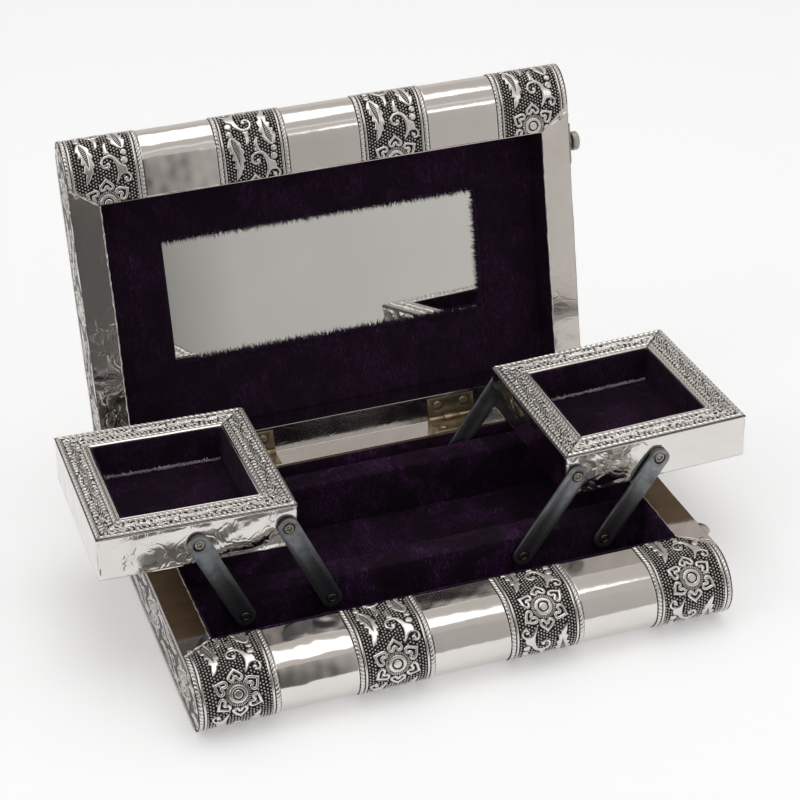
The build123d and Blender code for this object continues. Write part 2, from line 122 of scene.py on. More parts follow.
class VanityColours(bpy.types.PropertyGroup):
    silver: colour("Silver", (0.73, 0.705, 0.68), "White metal sheet")
    tarnish: colour("Tarnish", (0.56, 0.525, 0.485), "Where the white metal has gone dull")
    oxide: colour("Oxide", (0.010, 0.009, 0.009), "Blackened ground of the embossing")
    plush: colour("Plush", (0.0062, 0.0015, 0.0070), "Purple plush")
    # The brushed plush colours below are painted sheen: the plush made lighter where its pile catches the
    # light, and lighter still in the case.
    plush_nap: colour("Plush painted sheen", (0.052, 0.013, 0.062), "Plush brushed the other way, painted lighter as sheen")
    deep_nap: colour("Case plush painted sheen", (0.105, 0.026, 0.130), "The case's plush brushed the other way, painted lighter still as sheen")
    pile_tip: colour("Pile tips", (0.020, 0.0075, 0.024), "Cut pile round the mirror's window")
    pile_tip_nap: colour("Lit pile tips", (0.110, 0.050, 0.130), "Cut pile where the light catches it")
    sheen: colour("Plush sheen", (0.50, 0.30, 0.52), "Light on the pile's ends")
    thread: colour("Seam thread", (0.90, 0.84, 0.92), "Pale cut edge of the trays' linings")
    zinc: colour("Zinc steel", (0.27, 0.285, 0.30), "Zinc-plated links")
    antique_brass: colour("Antique brass", (0.33, 0.265, 0.175), "Hinges and their screws")
    bright_steel: colour("Bright steel", (0.50, 0.475, 0.43), "Rim nails and the latch's knob")
    dull_steel: colour("Dull steel", (0.44, 0.40, 0.35), "Tray rivets and latch")
    # Painted shade: a darker copy of the rivet steel for the rivets low in the dividers.
    dark_steel: colour("Shaded rivet steel", (0.16, 0.15, 0.145), "Rivets in the dividers")
    wood: colour("Wood", (0.30, 0.19, 0.10), "Bare boards")
    backing: colour("Card", (0.22, 0.17, 0.12), "Card behind the mirror")
    glass: colour("Mirror", (0.84, 0.85, 0.83), "Silvered glass")
    glass_dim: colour("Dim mirror", (0.80, 0.81, 0.79), "Silvered glass where it is cloudy")
    floor: colour("Floor", (0.90, 0.90, 0.90), "Studio floor")


def sizes():
    """The sizes in millimetres, and the angles in radians."""
    group = bpy.context.scene.vanity_sizes
    angles = ("lid_open", "tray_tip")
    return {
        key: getattr(group, key) / (1 if key in angles else MM) for key in VanitySizes.__annotations__
    }


def paint(name):
    """One of the colours, as red, green, blue and alpha."""
    return (*getattr(bpy.context.scene.vanity_colours, name), 1.0)


# ---- Node helpers ----
def add(tree, kind, sockets=None, **settings):
    """Adds a node, sets it up, and gives each named socket a value or a link."""
    node = tree.nodes.new(kind)
    for key, value in settings.items():
        setattr(node, key, value)
    for key, value in (sockets or {}).items():
        socket = node.inputs[key]
        if isinstance(value, bpy.types.NodeSocket):
            tree.links.new(value, socket)
        else:
            socket.default_value = value
    return node


def shader_group(name, inputs, outputs):
    """An empty shader node group, with its input and output nodes."""
    tree = bpy.data.node_groups.new(name, "ShaderNodeTree")
    for key, kind in inputs:
        tree.interface.new_socket(key, in_out="INPUT", socket_type=kind)
    for key, kind in outputs:
        tree.interface.new_socket(key, in_out="OUTPUT", socket_type=kind)
    return tree, tree.nodes.new("NodeGroupInput").outputs, tree.nodes.new("NodeGroupOutput").inputs


def place_group(tree, name, **values):
    """A shader group placed in a material, with its own values."""
    node = tree.nodes.new("ShaderNodeGroup")
    node.node_tree = bpy.data.node_groups[name]
    for key, value in values.items():
        socket = node.inputs[key.replace("_", " ").capitalize()]
        if isinstance(value, bpy.types.NodeSocket):
            tree.links.new(value, socket)
        else:
            socket.default_value = value
    return node.outputs


def maths(tree, operation, first, second=0.0, clamp=False):
    """A Math node's result."""
    node = add(tree, "ShaderNodeMath", {0: first, 1: second}, operation=operation, use_clamp=clamp)
    return node.outputs[0]


def times(tree, first, second, clamp=False):
    """The product of two values."""
    return maths(tree, "MULTIPLY", first, second, clamp)


def plus(tree, first, second, clamp=False):
    """The sum of two values."""
    return maths(tree, "ADD", first, second, clamp)


def minus(tree, first, second):
    """The difference of two values."""
    return maths(tree, "SUBTRACT", first, second)


def contrast(tree, value, low, gain):
    """How far a value stands above a low level, times a gain, held between 0 and 1."""
    return times(tree, minus(tree, value, low), gain, clamp=True)


def noise(tree, place, scale, detail=3.0, roughness=0.55, distortion=0.0):
    """A noise texture's value."""
    values = {"Scale": scale, "Detail": detail, "Roughness": roughness, "Distortion": distortion}
    return add(tree, "ShaderNodeTexNoise", {"Vector": place, **values}).outputs["Fac"]


def ramp(tree, value, stops):
    """A colour ramp over a value, from (position, grey or colour) stops."""
    node = add(tree, "ShaderNodeValToRGB", {"Fac": value})
    elements = node.color_ramp.elements
    while len(elements) < len(stops):
        elements.new(0.5)
    for element, (position, shade) in zip(elements, stops):
        element.position = position
        element.color = shade if isinstance(shade, tuple) else (shade, shade, shade, 1.0)
    return node.outputs["Color"]


def blend_colours(tree, factor, first, second):
    """A mix of two colours."""
    node = add(tree, "ShaderNodeMix", data_type="RGBA")
    for index, value in ((0, factor), (6, first), (7, second)):
        if isinstance(value, bpy.types.NodeSocket):
            tree.links.new(value, node.inputs[index])
        else:
            node.inputs[index].default_value = value
    return node.outputs[2]


# ---- Effects that several finishes share ----
NUMBER, VECTOR, TINT = "NodeSocketFloat", "NodeSocketVector", "NodeSocketColor"

# Noise layers: how fine they are, then their detail, roughness and distortion.
HAND_DENTS = (55.0, 1.0, 0.4, 0.3)
CRUMPLES = (170.0, 2.0, 0.5, 0.8)
SHEET_GRAIN = (900.0, 2.0)
FOLD_LINES = (75.0, 2.0, 0.5, 1.2)
TARNISH_CLOUDS = (32.0, 5.0, 0.62, 0.5)
TARNISH_SPECKS = (620.0, 3.0, 0.7)
# The pile's strokes and locks shape its bump, and with the crushed patches they place the plush's painted
# sheen.
PILE_STROKES = (1500.0, 3.0, 0.65)
PILE_LOCKS = (420.0, 2.0, 0.6)
CRUSHED_PATCHES = (42.0, 3.0, 0.6, 1.0)
METAL_MOTTLE = (210.0, 4.0, 0.6, 0.4)
FINE_SCRATCHES = (1700.0, 2.0, 0.7)
GROUND_GRIME = (420.0, 4.0, 0.65)
EMBOSSED_GRAIN = (1100.0, 3.0, 0.6)
WOOD_GRAIN = (420.0, 5.0, 0.6, 1.5)
MIRROR_DUST = (160.0, 5.0, 0.7)
MIRROR_CLOUDS = (24.0, 3.0)

# Stretch of a pattern along X, Y and Z.
PILE_LIE = (1.0, 0.30, 0.30)
SCRATCH_LIE = (1.0, 1.0, 0.12)
GRAIN_LIE = (0.05, 1.0, 1.0)


def make_hammered_sheet():
    """Height of metal sheet that was dented, crumpled and creased by hand."""
    tree, given, result = shader_group(
        "Hammered sheet",
        [("Place", VECTOR), ("Dents", NUMBER), ("Creases", NUMBER)],
        [("Height", NUMBER)],
    )
    crumple_share, grain_share, fold_share = 0.16, 0.008, 0.22
    fold_gain, fold_depth = 9.0, 0.6
    dents = noise(tree, given["Place"], *HAND_DENTS)
    crumple = noise(tree, given["Place"], *CRUMPLES)
    grain = noise(tree, given["Place"], *SHEET_GRAIN)
    folds = maths(tree, "ABSOLUTE", minus(tree, noise(tree, given["Place"], *FOLD_LINES), 0.5))
    folds = maths(tree, "SMOOTH_MIN", times(tree, folds, fold_gain), fold_depth)
    total = times(tree, dents, given["Dents"])
    total = plus(tree, total, times(tree, times(tree, crumple, crumple_share), given["Dents"]))
    total = plus(tree, total, times(tree, grain, grain_share))
    total = plus(tree, total, times(tree, times(tree, folds, fold_share), given["Creases"]))
    tree.links.new(total, result["Height"])


def make_tarnish():
    """Colour and roughness of white metal that has gone dull in clouds and specks."""
    tree, given, result = shader_group(
        "Tarnish",
        [("Place", VECTOR), ("Bright", TINT), ("Dull", TINT), ("Amount", NUMBER), ("Polish", NUMBER)],
        [("Color", TINT), ("Roughness", NUMBER)],
    )
    lost_polish = 0.22
    cloud = contrast(tree, noise(tree, given["Place"], *TARNISH_CLOUDS), 0.42, 3.2)
    cloud = times(tree, cloud, given["Amount"])
    specks = contrast(tree, noise(tree, given["Place"], *TARNISH_SPECKS), 0.60, 3.0)
    dull = plus(tree, cloud, times(tree, specks, given["Amount"]), clamp=True)
    tree.links.new(blend_colours(tree, dull, given["Bright"], given["Dull"]), result["Color"])
    tree.links.new(plus(tree, given["Polish"], times(tree, dull, lost_polish)), result["Roughness"])


def make_nap():
    """Colour and height of plush whose pile lies in swirled strokes and crushed patches; the colour is
    painted lighter where the pile would catch the light, as painted sheen.
    """
    tree, given, result = shader_group(
        "Nap",
        [("Place", VECTOR), ("Pile", TINT), ("Brushed", TINT)],
        [("Color", TINT), ("Height", NUMBER)],
    )
    swirl_scale, swirl_reach = 70.0, 6.0 * MM
    stroke_height, lock_height = 0.4, 0.8
    swirl = add(tree, "ShaderNodeTexNoise", {"Vector": given["Place"], "Scale": swirl_scale, "Detail": 1.0})
    shift = add(
        tree, "ShaderNodeVectorMath", {0: swirl.outputs["Color"], "Scale": swirl_reach}, operation="SCALE"
    ).outputs[0]
    moved = add(tree, "ShaderNodeVectorMath", {0: given["Place"], 1: shift}, operation="ADD").outputs[0]
    stretched = add(tree, "ShaderNodeMapping", {"Vector": moved, "Scale": PILE_LIE}).outputs[0]
    strokes = noise(tree, stretched, *PILE_STROKES)
    locks = noise(tree, stretched, *PILE_LOCKS)
    patches = contrast(tree, noise(tree, given["Place"], *CRUSHED_PATCHES), 0.42, 4.5)
    fine = contrast(tree, strokes, 0.45, 4.5)
    broad = contrast(tree, locks, 0.42, 4.0)
    tuft = plus(tree, times(tree, broad, 0.6), 0.4)
    # lit: where the brushed colour is painted in as sheen, placed by the pile's strokes, locks and crushed
    # patches.
    lit = plus(tree, times(tree, times(tree, fine, tuft), 0.9), 0.06)
    lit = times(tree, lit, plus(tree, times(tree, patches, 0.95), 0.12), clamp=True)
    tree.links.new(blend_colours(tree, lit, given["Pile"], given["Brushed"]), result["Color"])
    height = plus(tree, times(tree, strokes, stroke_height), times(tree, locks, lock_height))
    tree.links.new(height, result["Height"])


def make_rubbed_metal():
    """Colour, roughness and height of plated metal that is mottled and finely scratched."""
    tree, given, result = shader_group(
        "Rubbed metal",
        [("Place", VECTOR), ("Metal", TINT), ("Dark", TINT), ("Roughness", NUMBER)],
        [("Color", TINT), ("Roughness", NUMBER), ("Height", NUMBER)],
    )
    dark_rough, scratch_rough, mottle_height = 0.15, 0.12, 0.5
    mottle = noise(tree, given["Place"], *METAL_MOTTLE)
    streak = add(tree, "ShaderNodeMapping", {"Vector": given["Place"], "Scale": SCRATCH_LIE}).outputs[0]
    scratches = noise(tree, streak, *FINE_SCRATCHES)
    shade = contrast(tree, mottle, 0.40, 2.6)
    tree.links.new(blend_colours(tree, shade, given["Metal"], given["Dark"]), result["Color"])
    rough = plus(tree, given["Roughness"], times(tree, shade, dark_rough))
    rough = plus(tree, rough, times(tree, scratches, scratch_rough))
    tree.links.new(rough, result["Roughness"])
    tree.links.new(plus(tree, times(tree, mottle, mottle_height), scratches), result["Height"])


def make_effects():
    """Builds every shader group."""
    make_hammered_sheet()
    make_tarnish()
    make_nap()
    make_rubbed_metal()


# ---- Finishes ----
# How deep a height of 1 goes in a finish, in millimetres.
FOIL_DEPTH, GRAIN_DEPTH, PILE_DEPTH, SCRATCH_DEPTH, WOOD_DEPTH = 1.1, 0.06, 1.2, 0.04, 0.2
CREASED_BELOW = 0.125       # height and X, in metres, of the lid corner where the foil was folded hard
CREASED_LEFT_OF = -0.100
MATT = 0.95
SOFTWOOD_ROUGHNESS = 0.72


def new_finish(name, **constants):
    """A material with a Principled BSDF whose plain numbers are set on its own sockets."""
    material = bpy.data.materials.new(name)
    material.use_nodes = True
    tree = material.node_tree
    shader = tree.nodes["Principled BSDF"]
    for key, value in constants.items():
        shader.inputs[key.replace("_", " ")].default_value = value
    place = add(tree, "ShaderNodeTexCoord").outputs["Object"]
    return material, tree, shader.inputs, place


def bump(tree, sockets, height, depth):
    """Feeds a height into the shader's normal; the depth is in millimetres."""
    node = add(tree, "ShaderNodeBump", {"Height": height, "Distance": depth * MM, "Strength": 1.0})
    tree.links.new(node.outputs[0], sockets["Normal"])


def darker(shade, share):
    """A share of a colour."""
    return tuple(channel * share for channel in shade[:3]) + (1.0,)


def tarnished_silver(tree, place, amount, polish):
    """Colour and roughness of the white metal."""
    return place_group(
        tree, "Tarnish", place=place, bright=paint("silver"), dull=paint("tarnish"), amount=amount,
        polish=polish,
    )


def foil_finish(name, dents, creases, tarnish, polish, creased_corner=0.0):
    """Polished white metal sheet, dented by hand, and creased where it was folded round a corner."""
    _, tree, sockets, place = new_finish(name, Metallic=1.0)
    surface = tarnished_silver(tree, place, tarnish, polish)
    tree.links.new(surface["Color"], sockets["Base Color"])
    tree.links.new(surface["Roughness"], sockets["Roughness"])
    if creased_corner:
        fade_down, fade_across = 25.0, 100.0
        more_dents, more_creases = 0.5, 0.8
        axes = add(tree, "ShaderNodeSeparateXYZ", {"Vector": place}).outputs
        low = contrast(tree, CREASED_BELOW, axes["Z"], fade_down)
        left = contrast(tree, CREASED_LEFT_OF, axes["X"], fade_across)
        near_fold = times(tree, times(tree, low, left), creased_corner)
        dents = plus(tree, times(tree, near_fold, more_dents), dents)
        creases = plus(tree, times(tree, near_fold, more_creases), creases)
    sheet = place_group(tree, "Hammered sheet", place=place, dents=dents, creases=creases)
    bump(tree, sockets, sheet["Height"], FOIL_DEPTH)


def embossed_finish(name, low, high, tarnish, polish):
    """Embossed sheet whose ground is blackened; its relief attribute runs from 0 to 1."""
    _, tree, sockets, place = new_finish(name, Specular_IOR_Level=0.15)
    grime_share, ground_rough = 0.22, 0.35
    relief = add(tree, "ShaderNodeAttribute", attribute_name="relief").outputs["Fac"]
    grime = times(tree, minus(tree, noise(tree, place, *GROUND_GRIME), 0.5), grime_share)
    clear = ramp(tree, plus(tree, relief, grime), [(low, 0.0), (high, 1.0)])
    surface = tarnished_silver(tree, place, tarnish, polish)
    tree.links.new(blend_colours(tree, clear, paint("oxide"), surface["Color"]), sockets["Base Color"])
    tree.links.new(clear, sockets["Metallic"])
    ground = times(tree, minus(tree, 1.0, clear), ground_rough)
    tree.links.new(plus(tree, surface["Roughness"], ground), sockets["Roughness"])
    bump(tree, sockets, noise(tree, place, *EMBOSSED_GRAIN), GRAIN_DEPTH)


def plush_finish(name, pile, brushed):
    """Deep plush with a brushed nap and a soft sheen; its brushed colour is painted sheen, mixed in by the
    Nap group.
    """
    _, tree, sockets, place = new_finish(
        name, Roughness=MATT, Sheen_Weight=0.10, Sheen_Roughness=0.42, Sheen_Tint=paint("sheen"),
        Specular_IOR_Level=0.12,
    )
    nap = place_group(tree, "Nap", place=place, pile=paint(pile), brushed=paint(brushed))
    tree.links.new(nap["Color"], sockets["Base Color"])
    bump(tree, sockets, nap["Height"], PILE_DEPTH)


def rubbed_finish(name, colour_name, dark_share, roughness, metallic=1.0):
    """Plain plated metal or card, mottled and finely scratched."""
    _, tree, sockets, place = new_finish(name, Metallic=metallic)
    metal = paint(colour_name)
    surface = place_group(
        tree, "Rubbed metal", place=place, metal=metal, dark=darker(metal, dark_share), roughness=roughness
    )
    tree.links.new(surface["Color"], sockets["Base Color"])
    tree.links.new(surface["Roughness"], sockets["Roughness"])
    bump(tree, sockets, surface["Height"], SCRATCH_DEPTH)


def wood_finish(name):
    """Bare softwood with grain along the box."""
    _, tree, sockets, place = new_finish(name, Roughness=SOFTWOOD_ROUGHNESS)
    along = add(tree, "ShaderNodeMapping", {"Vector": place, "Scale": GRAIN_LIE}).outputs[0]
    grain = noise(tree, along, *WOOD_GRAIN)
    stops = [(0.35, darker(paint("wood"), 0.5)), (0.65, paint("wood"))]
    tree.links.new(ramp(tree, grain, stops), sockets["Base Color"])
    bump(tree, sockets, grain, WOOD_DEPTH)


def mirror_finish(name):
    """Silvered glass with a trace of dust."""
    _, tree, sockets, place = new_finish(name, Metallic=1.0)
    dust_rough, clean_rough = 0.035, 0.004
    dust = times(tree, noise(tree, place, *MIRROR_DUST), dust_rough)
    tree.links.new(plus(tree, dust, clean_rough), sockets["Roughness"])
    stops = [(0.3, paint("glass_dim")), (0.7, paint("glass"))]
    tree.links.new(ramp(tree, noise(tree, place, *MIRROR_CLOUDS), stops), sockets["Base Color"])


def make_finishes():
    """Builds every material of the box."""
    foil_finish("polished_foil", 0.07, 0.04, 0.30, 0.10)
    foil_finish("rim_foil", 0.20, 0.12, 0.40, 0.11, creased_corner=1.0)
    foil_finish("band_foil", 0.03, 0.02, 0.22, 0.10)
    foil_finish("crumpled_foil", 0.30, 0.30, 0.30, 0.09)
    embossed_finish("embossed_band", 0.14, 0.50, 0.16, 0.24)
    embossed_finish("embossed_frame", -0.22, 0.52, 0.06, 0.16)
    embossed_finish("embossed_side", -0.50, 0.70, 1.0, 0.30)
    # The brushed colours are painted sheen; the case's plush is a lighter copy of the same plush, with
    # brighter painted sheen.
    plush_finish("plush", "plush", "plush_nap")
    plush_finish("deep_plush", "plush", "deep_nap")
    plush_finish("pile_tips", "pile_tip", "pile_tip_nap")
    rubbed_finish("link_steel", "zinc", 0.50, 0.36)
    rubbed_finish("bright_steel", "bright_steel", 0.6, 0.30)
    # A darker copy of the rivet steel, painted shade for the rivets in the dividers.
    rubbed_finish("dark_steel", "dark_steel", 0.5, 0.36)
    rubbed_finish("seam_thread", "thread", 0.75, 0.30)
    rubbed_finish("dull_steel", "dull_steel", 0.55, 0.30)
    rubbed_finish("worn_brass", "antique_brass", 0.5, 0.30)
    rubbed_finish("bead_silver", "silver", 0.62, 0.28)
    rubbed_finish("brown_card", "backing", 0.7, 0.75, metallic=0.0)
    wood_finish("bare_wood")
    mirror_finish("mirror_glass")


def finish(name):
    """A finished material by its name."""
    return bpy.data.materials[name]


# ---- Mesh helpers ----
def half_axes(opening):
    """Rows are the X, Y and Z of a half whose rim is turned open about the hinge line."""
    s, c = sin(opening), cos(opening)
    return np.array(((1.0, 0.0, 0.0), (0.0, c, -s), (0.0, s, c)))


def rim_of(half):
    """The axes of a half's rim: X along the hinge, Y to the back and Z away from the opening."""
    return half_axes(0.0 if half == "base" else sizes()["lid_open"])


def to_world(local, origin, axes):
    """Local millimetres to metres in the part's frame."""
    return (np.asarray(local, float) @ axes + origin) * MM


def cad_points(node):
    """The corners of a CAD node's mesh, in millimetres."""
    return np.array([v.co[:] for v in frame["nodes"][node].data.vertices]) / MM


@contextmanager
def editing(mesh):
    """A bmesh of a mesh, written back to it at the end."""
    work = bmesh.new()
    work.from_mesh(mesh)
    yield work
    work.to_mesh(mesh)
    work.free()


def linked_object(name, data):
    """An object for a mesh, a lamp or a camera, at the origin and in the scene."""
    piece = bpy.data.objects.new(name, data)
    bpy.context.scene.collection.objects.link(piece)
    return piece


def new_mesh_object(name, points, faces, material, relief=None):
    """A smooth mesh object with faces turned outwards and an optional relief attribute."""
    mesh = bpy.data.meshes.new(name)
    mesh.from_pydata([tuple(p) for p in points], [], faces)
    if relief is not None:
        attribute = mesh.attributes.new("relief", "FLOAT", "POINT")
        attribute.data.foreach_set("value", np.asarray(relief, np.float32))
    with editing(mesh) as work:
        bmesh.ops.recalc_face_normals(work, faces=work.faces)
        for face in work.faces:
            face.smooth = True
    mesh.materials.append(finish(material))
    return linked_object(name, mesh)


def grid(rows, columns):
    """Two coordinates over every pair of a row and a column."""
    return np.meshgrid(rows, columns, indexing="ij")


def open_grid(points, keep=None):
    """Faces of a plain grid, leaving out the cells that keep marks false."""
    rows, columns = points.shape[:2]
    index = np.arange(rows * columns).reshape(rows, columns)
    return [
        (index[i, j], index[i + 1, j], index[i + 1, j + 1], index[i, j + 1])
        for i in range(rows - 1) for j in range(columns - 1) if keep is None or keep[i, j]
    ]


def loop_faces(rows, count):
    """Quads of a grid that closes round on itself."""
    index = np.arange(rows * count).reshape(rows, count)
    return [
        (index[i, j], index[i, (j + 1) % count], index[i + 1, (j + 1) % count], index[i + 1, j])
        for i in range(rows - 1) for j in range(count)
    ]


def sheet_parts(front, back, relief):
    """Points, faces and relief of a closed sheet: a fine front grid and a plain back strip.

    front is (across, along, 3); back is (2, along, 3), its two edges.
    """
    across, along = front.shape[:2]
    index = np.arange(across * along).reshape(across, along)
    near = across * along + np.arange(along)
    far = near + along
    faces = open_grid(front)
    for j in range(along - 1):
        faces.append((near[j], near[j + 1], far[j + 1], far[j]))
        faces.append((index[0, j], index[0, j + 1], near[j + 1], near[j]))
        faces.append((index[-1, j + 1], index[-1, j], far[j], far[j + 1]))
    faces.append((*index[:, 0], far[0], near[0]))
    faces.append((*index[::-1, -1], near[-1], far[-1]))
    points = np.concatenate((front.reshape(-1, 3), back.reshape(-1, 3)))
    heights = np.concatenate((relief.reshape(-1), np.zeros(2 * along)))
    return points, faces, heights


def joined(parts):
    """Several (points, faces, relief) sets as one."""
    points, faces, heights, start = [], [], [], 0
    for some_points, some_faces, some_heights in parts:
        points.append(some_points)
        heights.append(some_heights)
        faces.extend(tuple(int(k) + start for k in face) for face in some_faces)
        start += len(some_points)
    return np.concatenate(points), faces, np.concatenate(heights)


def way_along(line):
    """Distance from a line's start to each of its points."""
    return np.concatenate(((0,), np.cumsum(np.linalg.norm(np.diff(line, axis=0), axis=1))))


def read_along(way, values, at):
    """Rows of values given along a way, read at other distances along it."""
    return np.stack([np.interp(at, way, values[:, k]) for k in range(values.shape[1])], -1)


def outwards(line):
    """Unit normals on the left of a flat line."""
    tangent = np.gradient(line, axis=0)
    return np.stack((-tangent[:, 1], tangent[:, 0]), 1) / np.linalg.norm(tangent, axis=1)[:, None]


def waves(a, b, wavelength, seed, count=7):
    """Smooth seeded swells, mostly between -1 and 1."""
    draw = np.random.default_rng(seed)
    total = 0.0
    for _ in range(count):
        turn, shift = draw.uniform(0, 2 * pi, 2)
        size = wavelength * draw.uniform(0.7, 1.6)
        total = total + np.sin(2 * pi * (a * cos(turn) + b * sin(turn)) / size + shift)
    return total / sqrt(count)


def lumps(a, b, layers, shift=0):
    """Swells laid over each other; a layer is its height, wavelength and seed."""
    return sum(height * waves(a, b, wavelength, seed + shift) for height, wavelength, seed in layers)


def step(edge0, edge1, value):
    """Smooth step from 0 to 1."""
    t = np.clip((value - edge0) / (edge1 - edge0), 0, 1)
    return t * t * (3 - 2 * t)


def settle(piece, *modifiers):
    """Applies the piece's modifiers, with any given here added first."""
    for kind, values in modifiers:
        modifier = piece.modifiers.new(kind.title(), kind)
        for key, value in values.items():
            setattr(modifier, key, value)
    graph = bpy.context.evaluated_depsgraph_get()
    mesh = bpy.data.meshes.new_from_object(piece.evaluated_get(graph), depsgraph=graph)
    old = piece.data
    mesh.name = old.name
    piece.modifiers.clear()
    piece.data = mesh
    bpy.data.meshes.remove(old)
    return piece


def thickened(thick):
    """The modifier that gives a sheet its thickness, in millimetres, on its inner side."""
    return "SOLIDIFY", {"thickness": thick * MM, "offset": -1.0}


def rounded_edges(width, degrees):
    """The modifier that rounds the edges sharper than an angle; the width is in millimetres."""
    return "BEVEL", {
        "width": width * MM, "segments": 2, "limit_method": "ANGLE", "angle_limit": radians(degrees),
    }


def shade_by_angle(piece, degrees):
    """Smooth shading that breaks at edges sharper than an angle."""
    piece.data.shade_smooth()
    piece.data.set_sharp_from_angle(angle=radians(degrees))


def dress(piece, body, slot, *nodes):
    """Rides a piece on its body, and hides the CAD nodes it stands for; the slot is not used."""
    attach(piece, body)
    if nodes:
        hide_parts(*nodes)


def metal_sheet(name, parts, material, body, slot, node):
    """A piece of metal sheet made of points, faces and relief."""
    points, faces, heights = parts
    dress(new_mesh_object(name, points, faces, material, heights), body, slot, node)


# ---- Geometry Nodes ----
class ShapeTree:
    """A Geometry Nodes tree with named inputs, which ends in Realize Instances and Set Material."""

    def __init__(self, name, inputs):
        self.tree = bpy.data.node_groups.new(name, "GeometryNodeTree")
        kinds = {float: "NodeSocketFloat", int: "NodeSocketInt"}
        self.tree.interface.new_socket("Geometry", in_out="INPUT", socket_type="NodeSocketGeometry")
        for key, value in inputs.items():
            socket = self.tree.interface.new_socket(key, in_out="INPUT", socket_type=kinds[type(value)])
            socket.default_value = value
        self.tree.interface.new_socket("Material", in_out="INPUT", socket_type="NodeSocketMaterial")
        self.tree.interface.new_socket("Geometry", in_out="OUTPUT", socket_type="NodeSocketGeometry")
        self.given = self.tree.nodes.new("NodeGroupInput").outputs
        self.result = self.tree.nodes.new("NodeGroupOutput").inputs["Geometry"]

    def add(self, kind, sockets=None, output=0, **settings):
        """One output of a new node in this tree."""
        return add(self.tree, kind, sockets, **settings).outputs[output]

    def maths(self, operation, first, second=0.0):
        """A Math node's result."""
        return maths(self.tree, operation, first, second)

    def join(self, *pieces):
        """Several geometries as one."""
        node = self.tree.nodes.new("GeometryNodeJoinGeometry")
        for piece in reversed(pieces):
            self.tree.links.new(piece, node.inputs[0])
        return node.outputs[0]

    def vector(self, x=0.0, y=0.0, z=0.0):
        """A vector from three values."""
        return self.add("ShaderNodeCombineXYZ", {0: x, 1: y, 2: z})

    def move(self, geometry, translation=(0, 0, 0), rotation=(0, 0, 0), scale=(1, 1, 1)):
        """A geometry scaled, turned and moved."""
        return self.add(
            "GeometryNodeTransform",
            {"Geometry": geometry, "Translation": translation, "Rotation": rotation, "Scale": scale},
        )

    def circle(self, count, radius):
        """A round curve."""
        sockets = {"Resolution": count, "Radius": radius}
        return self.add("GeometryNodeCurvePrimitiveCircle", sockets, mode="RADIUS")

    def along(self, name):
        """Rotation that turns Z along a vector stored on the points."""
        stored = self.add("GeometryNodeInputNamedAttribute", {"Name": name}, data_type="FLOAT_VECTOR")
        return self.add("FunctionNodeAlignRotationToVector", {"Vector": stored}, axis="Z")

    def scatter(self, instance, rotation=None, scale=None):
        """Copies an instance onto the input's points."""
        points = self.add("GeometryNodeMeshToPoints", {"Mesh": self.given["Geometry"]})
        sockets = {"Points": points, "Instance": instance}
        if rotation is not None:
            sockets["Rotation"] = rotation
        if scale is not None:
            sockets["Scale"] = scale
        return self.add("GeometryNodeInstanceOnPoints", sockets)

    def finish(self, geometry, smooth=True):
        """The tree's closing nodes."""
        solid = self.add("GeometryNodeRealizeInstances", {"Geometry": geometry})
        if smooth:
            solid = self.add("GeometryNodeSetShadeSmooth", {"Geometry": solid})
        painted = self.add(
            "GeometryNodeSetMaterial", {"Geometry": solid, "Material": self.given["Material"]}
        )
        self.tree.links.new(painted, self.result)


def make_bead_tree():
    """Small round beads on points."""
    shape = ShapeTree("Beads", {"Radius": 0.4 * MM})
    bead = shape.add("GeometryNodeMeshIcoSphere", {"Radius": shape.given["Radius"], "Subdivisions": 1})
    shape.finish(shape.scatter(bead))


def make_pile_tree():
    """Tapered threads of pile on points, leaning along the stored direction with a seeded spread."""
    shape = ShapeTree("Pile", {"Length": 2.0 * MM, "Thickness": 0.1 * MM, "Spread": 0.5, "Seed": 1})
    shortest, longest = 0.45, 1.15
    thread = shape.add(
        "GeometryNodeMeshCone",
        {"Vertices": 3, "Radius Top": 0.0, "Radius Bottom": shape.given["Thickness"],
         "Depth": shape.given["Length"]},
    )
    spread = shape.given["Spread"]
    low = shape.maths("MULTIPLY", spread, -1.0)
    low_turn, high_turn = shape.vector(low, low, low), shape.vector(spread, spread, spread)
    tilt = shape.add(
        "FunctionNodeRandomValue", {0: low_turn, 1: high_turn, "Seed": shape.given["Seed"]},
        data_type="FLOAT_VECTOR",
    )
    size_seed = shape.maths("ADD", shape.given["Seed"], 7.0)
    size = shape.add(
        "FunctionNodeRandomValue", {2: shortest, 3: longest, "Seed": size_seed}, output=1,
        data_type="FLOAT",
    )
    turn = shape.add(
        "FunctionNodeRotateRotation", {"Rotation": shape.along("lean"), "Rotate By": tilt},
        rotation_space="LOCAL",
    )
    shape.finish(shape.scatter(thread, turn, size))


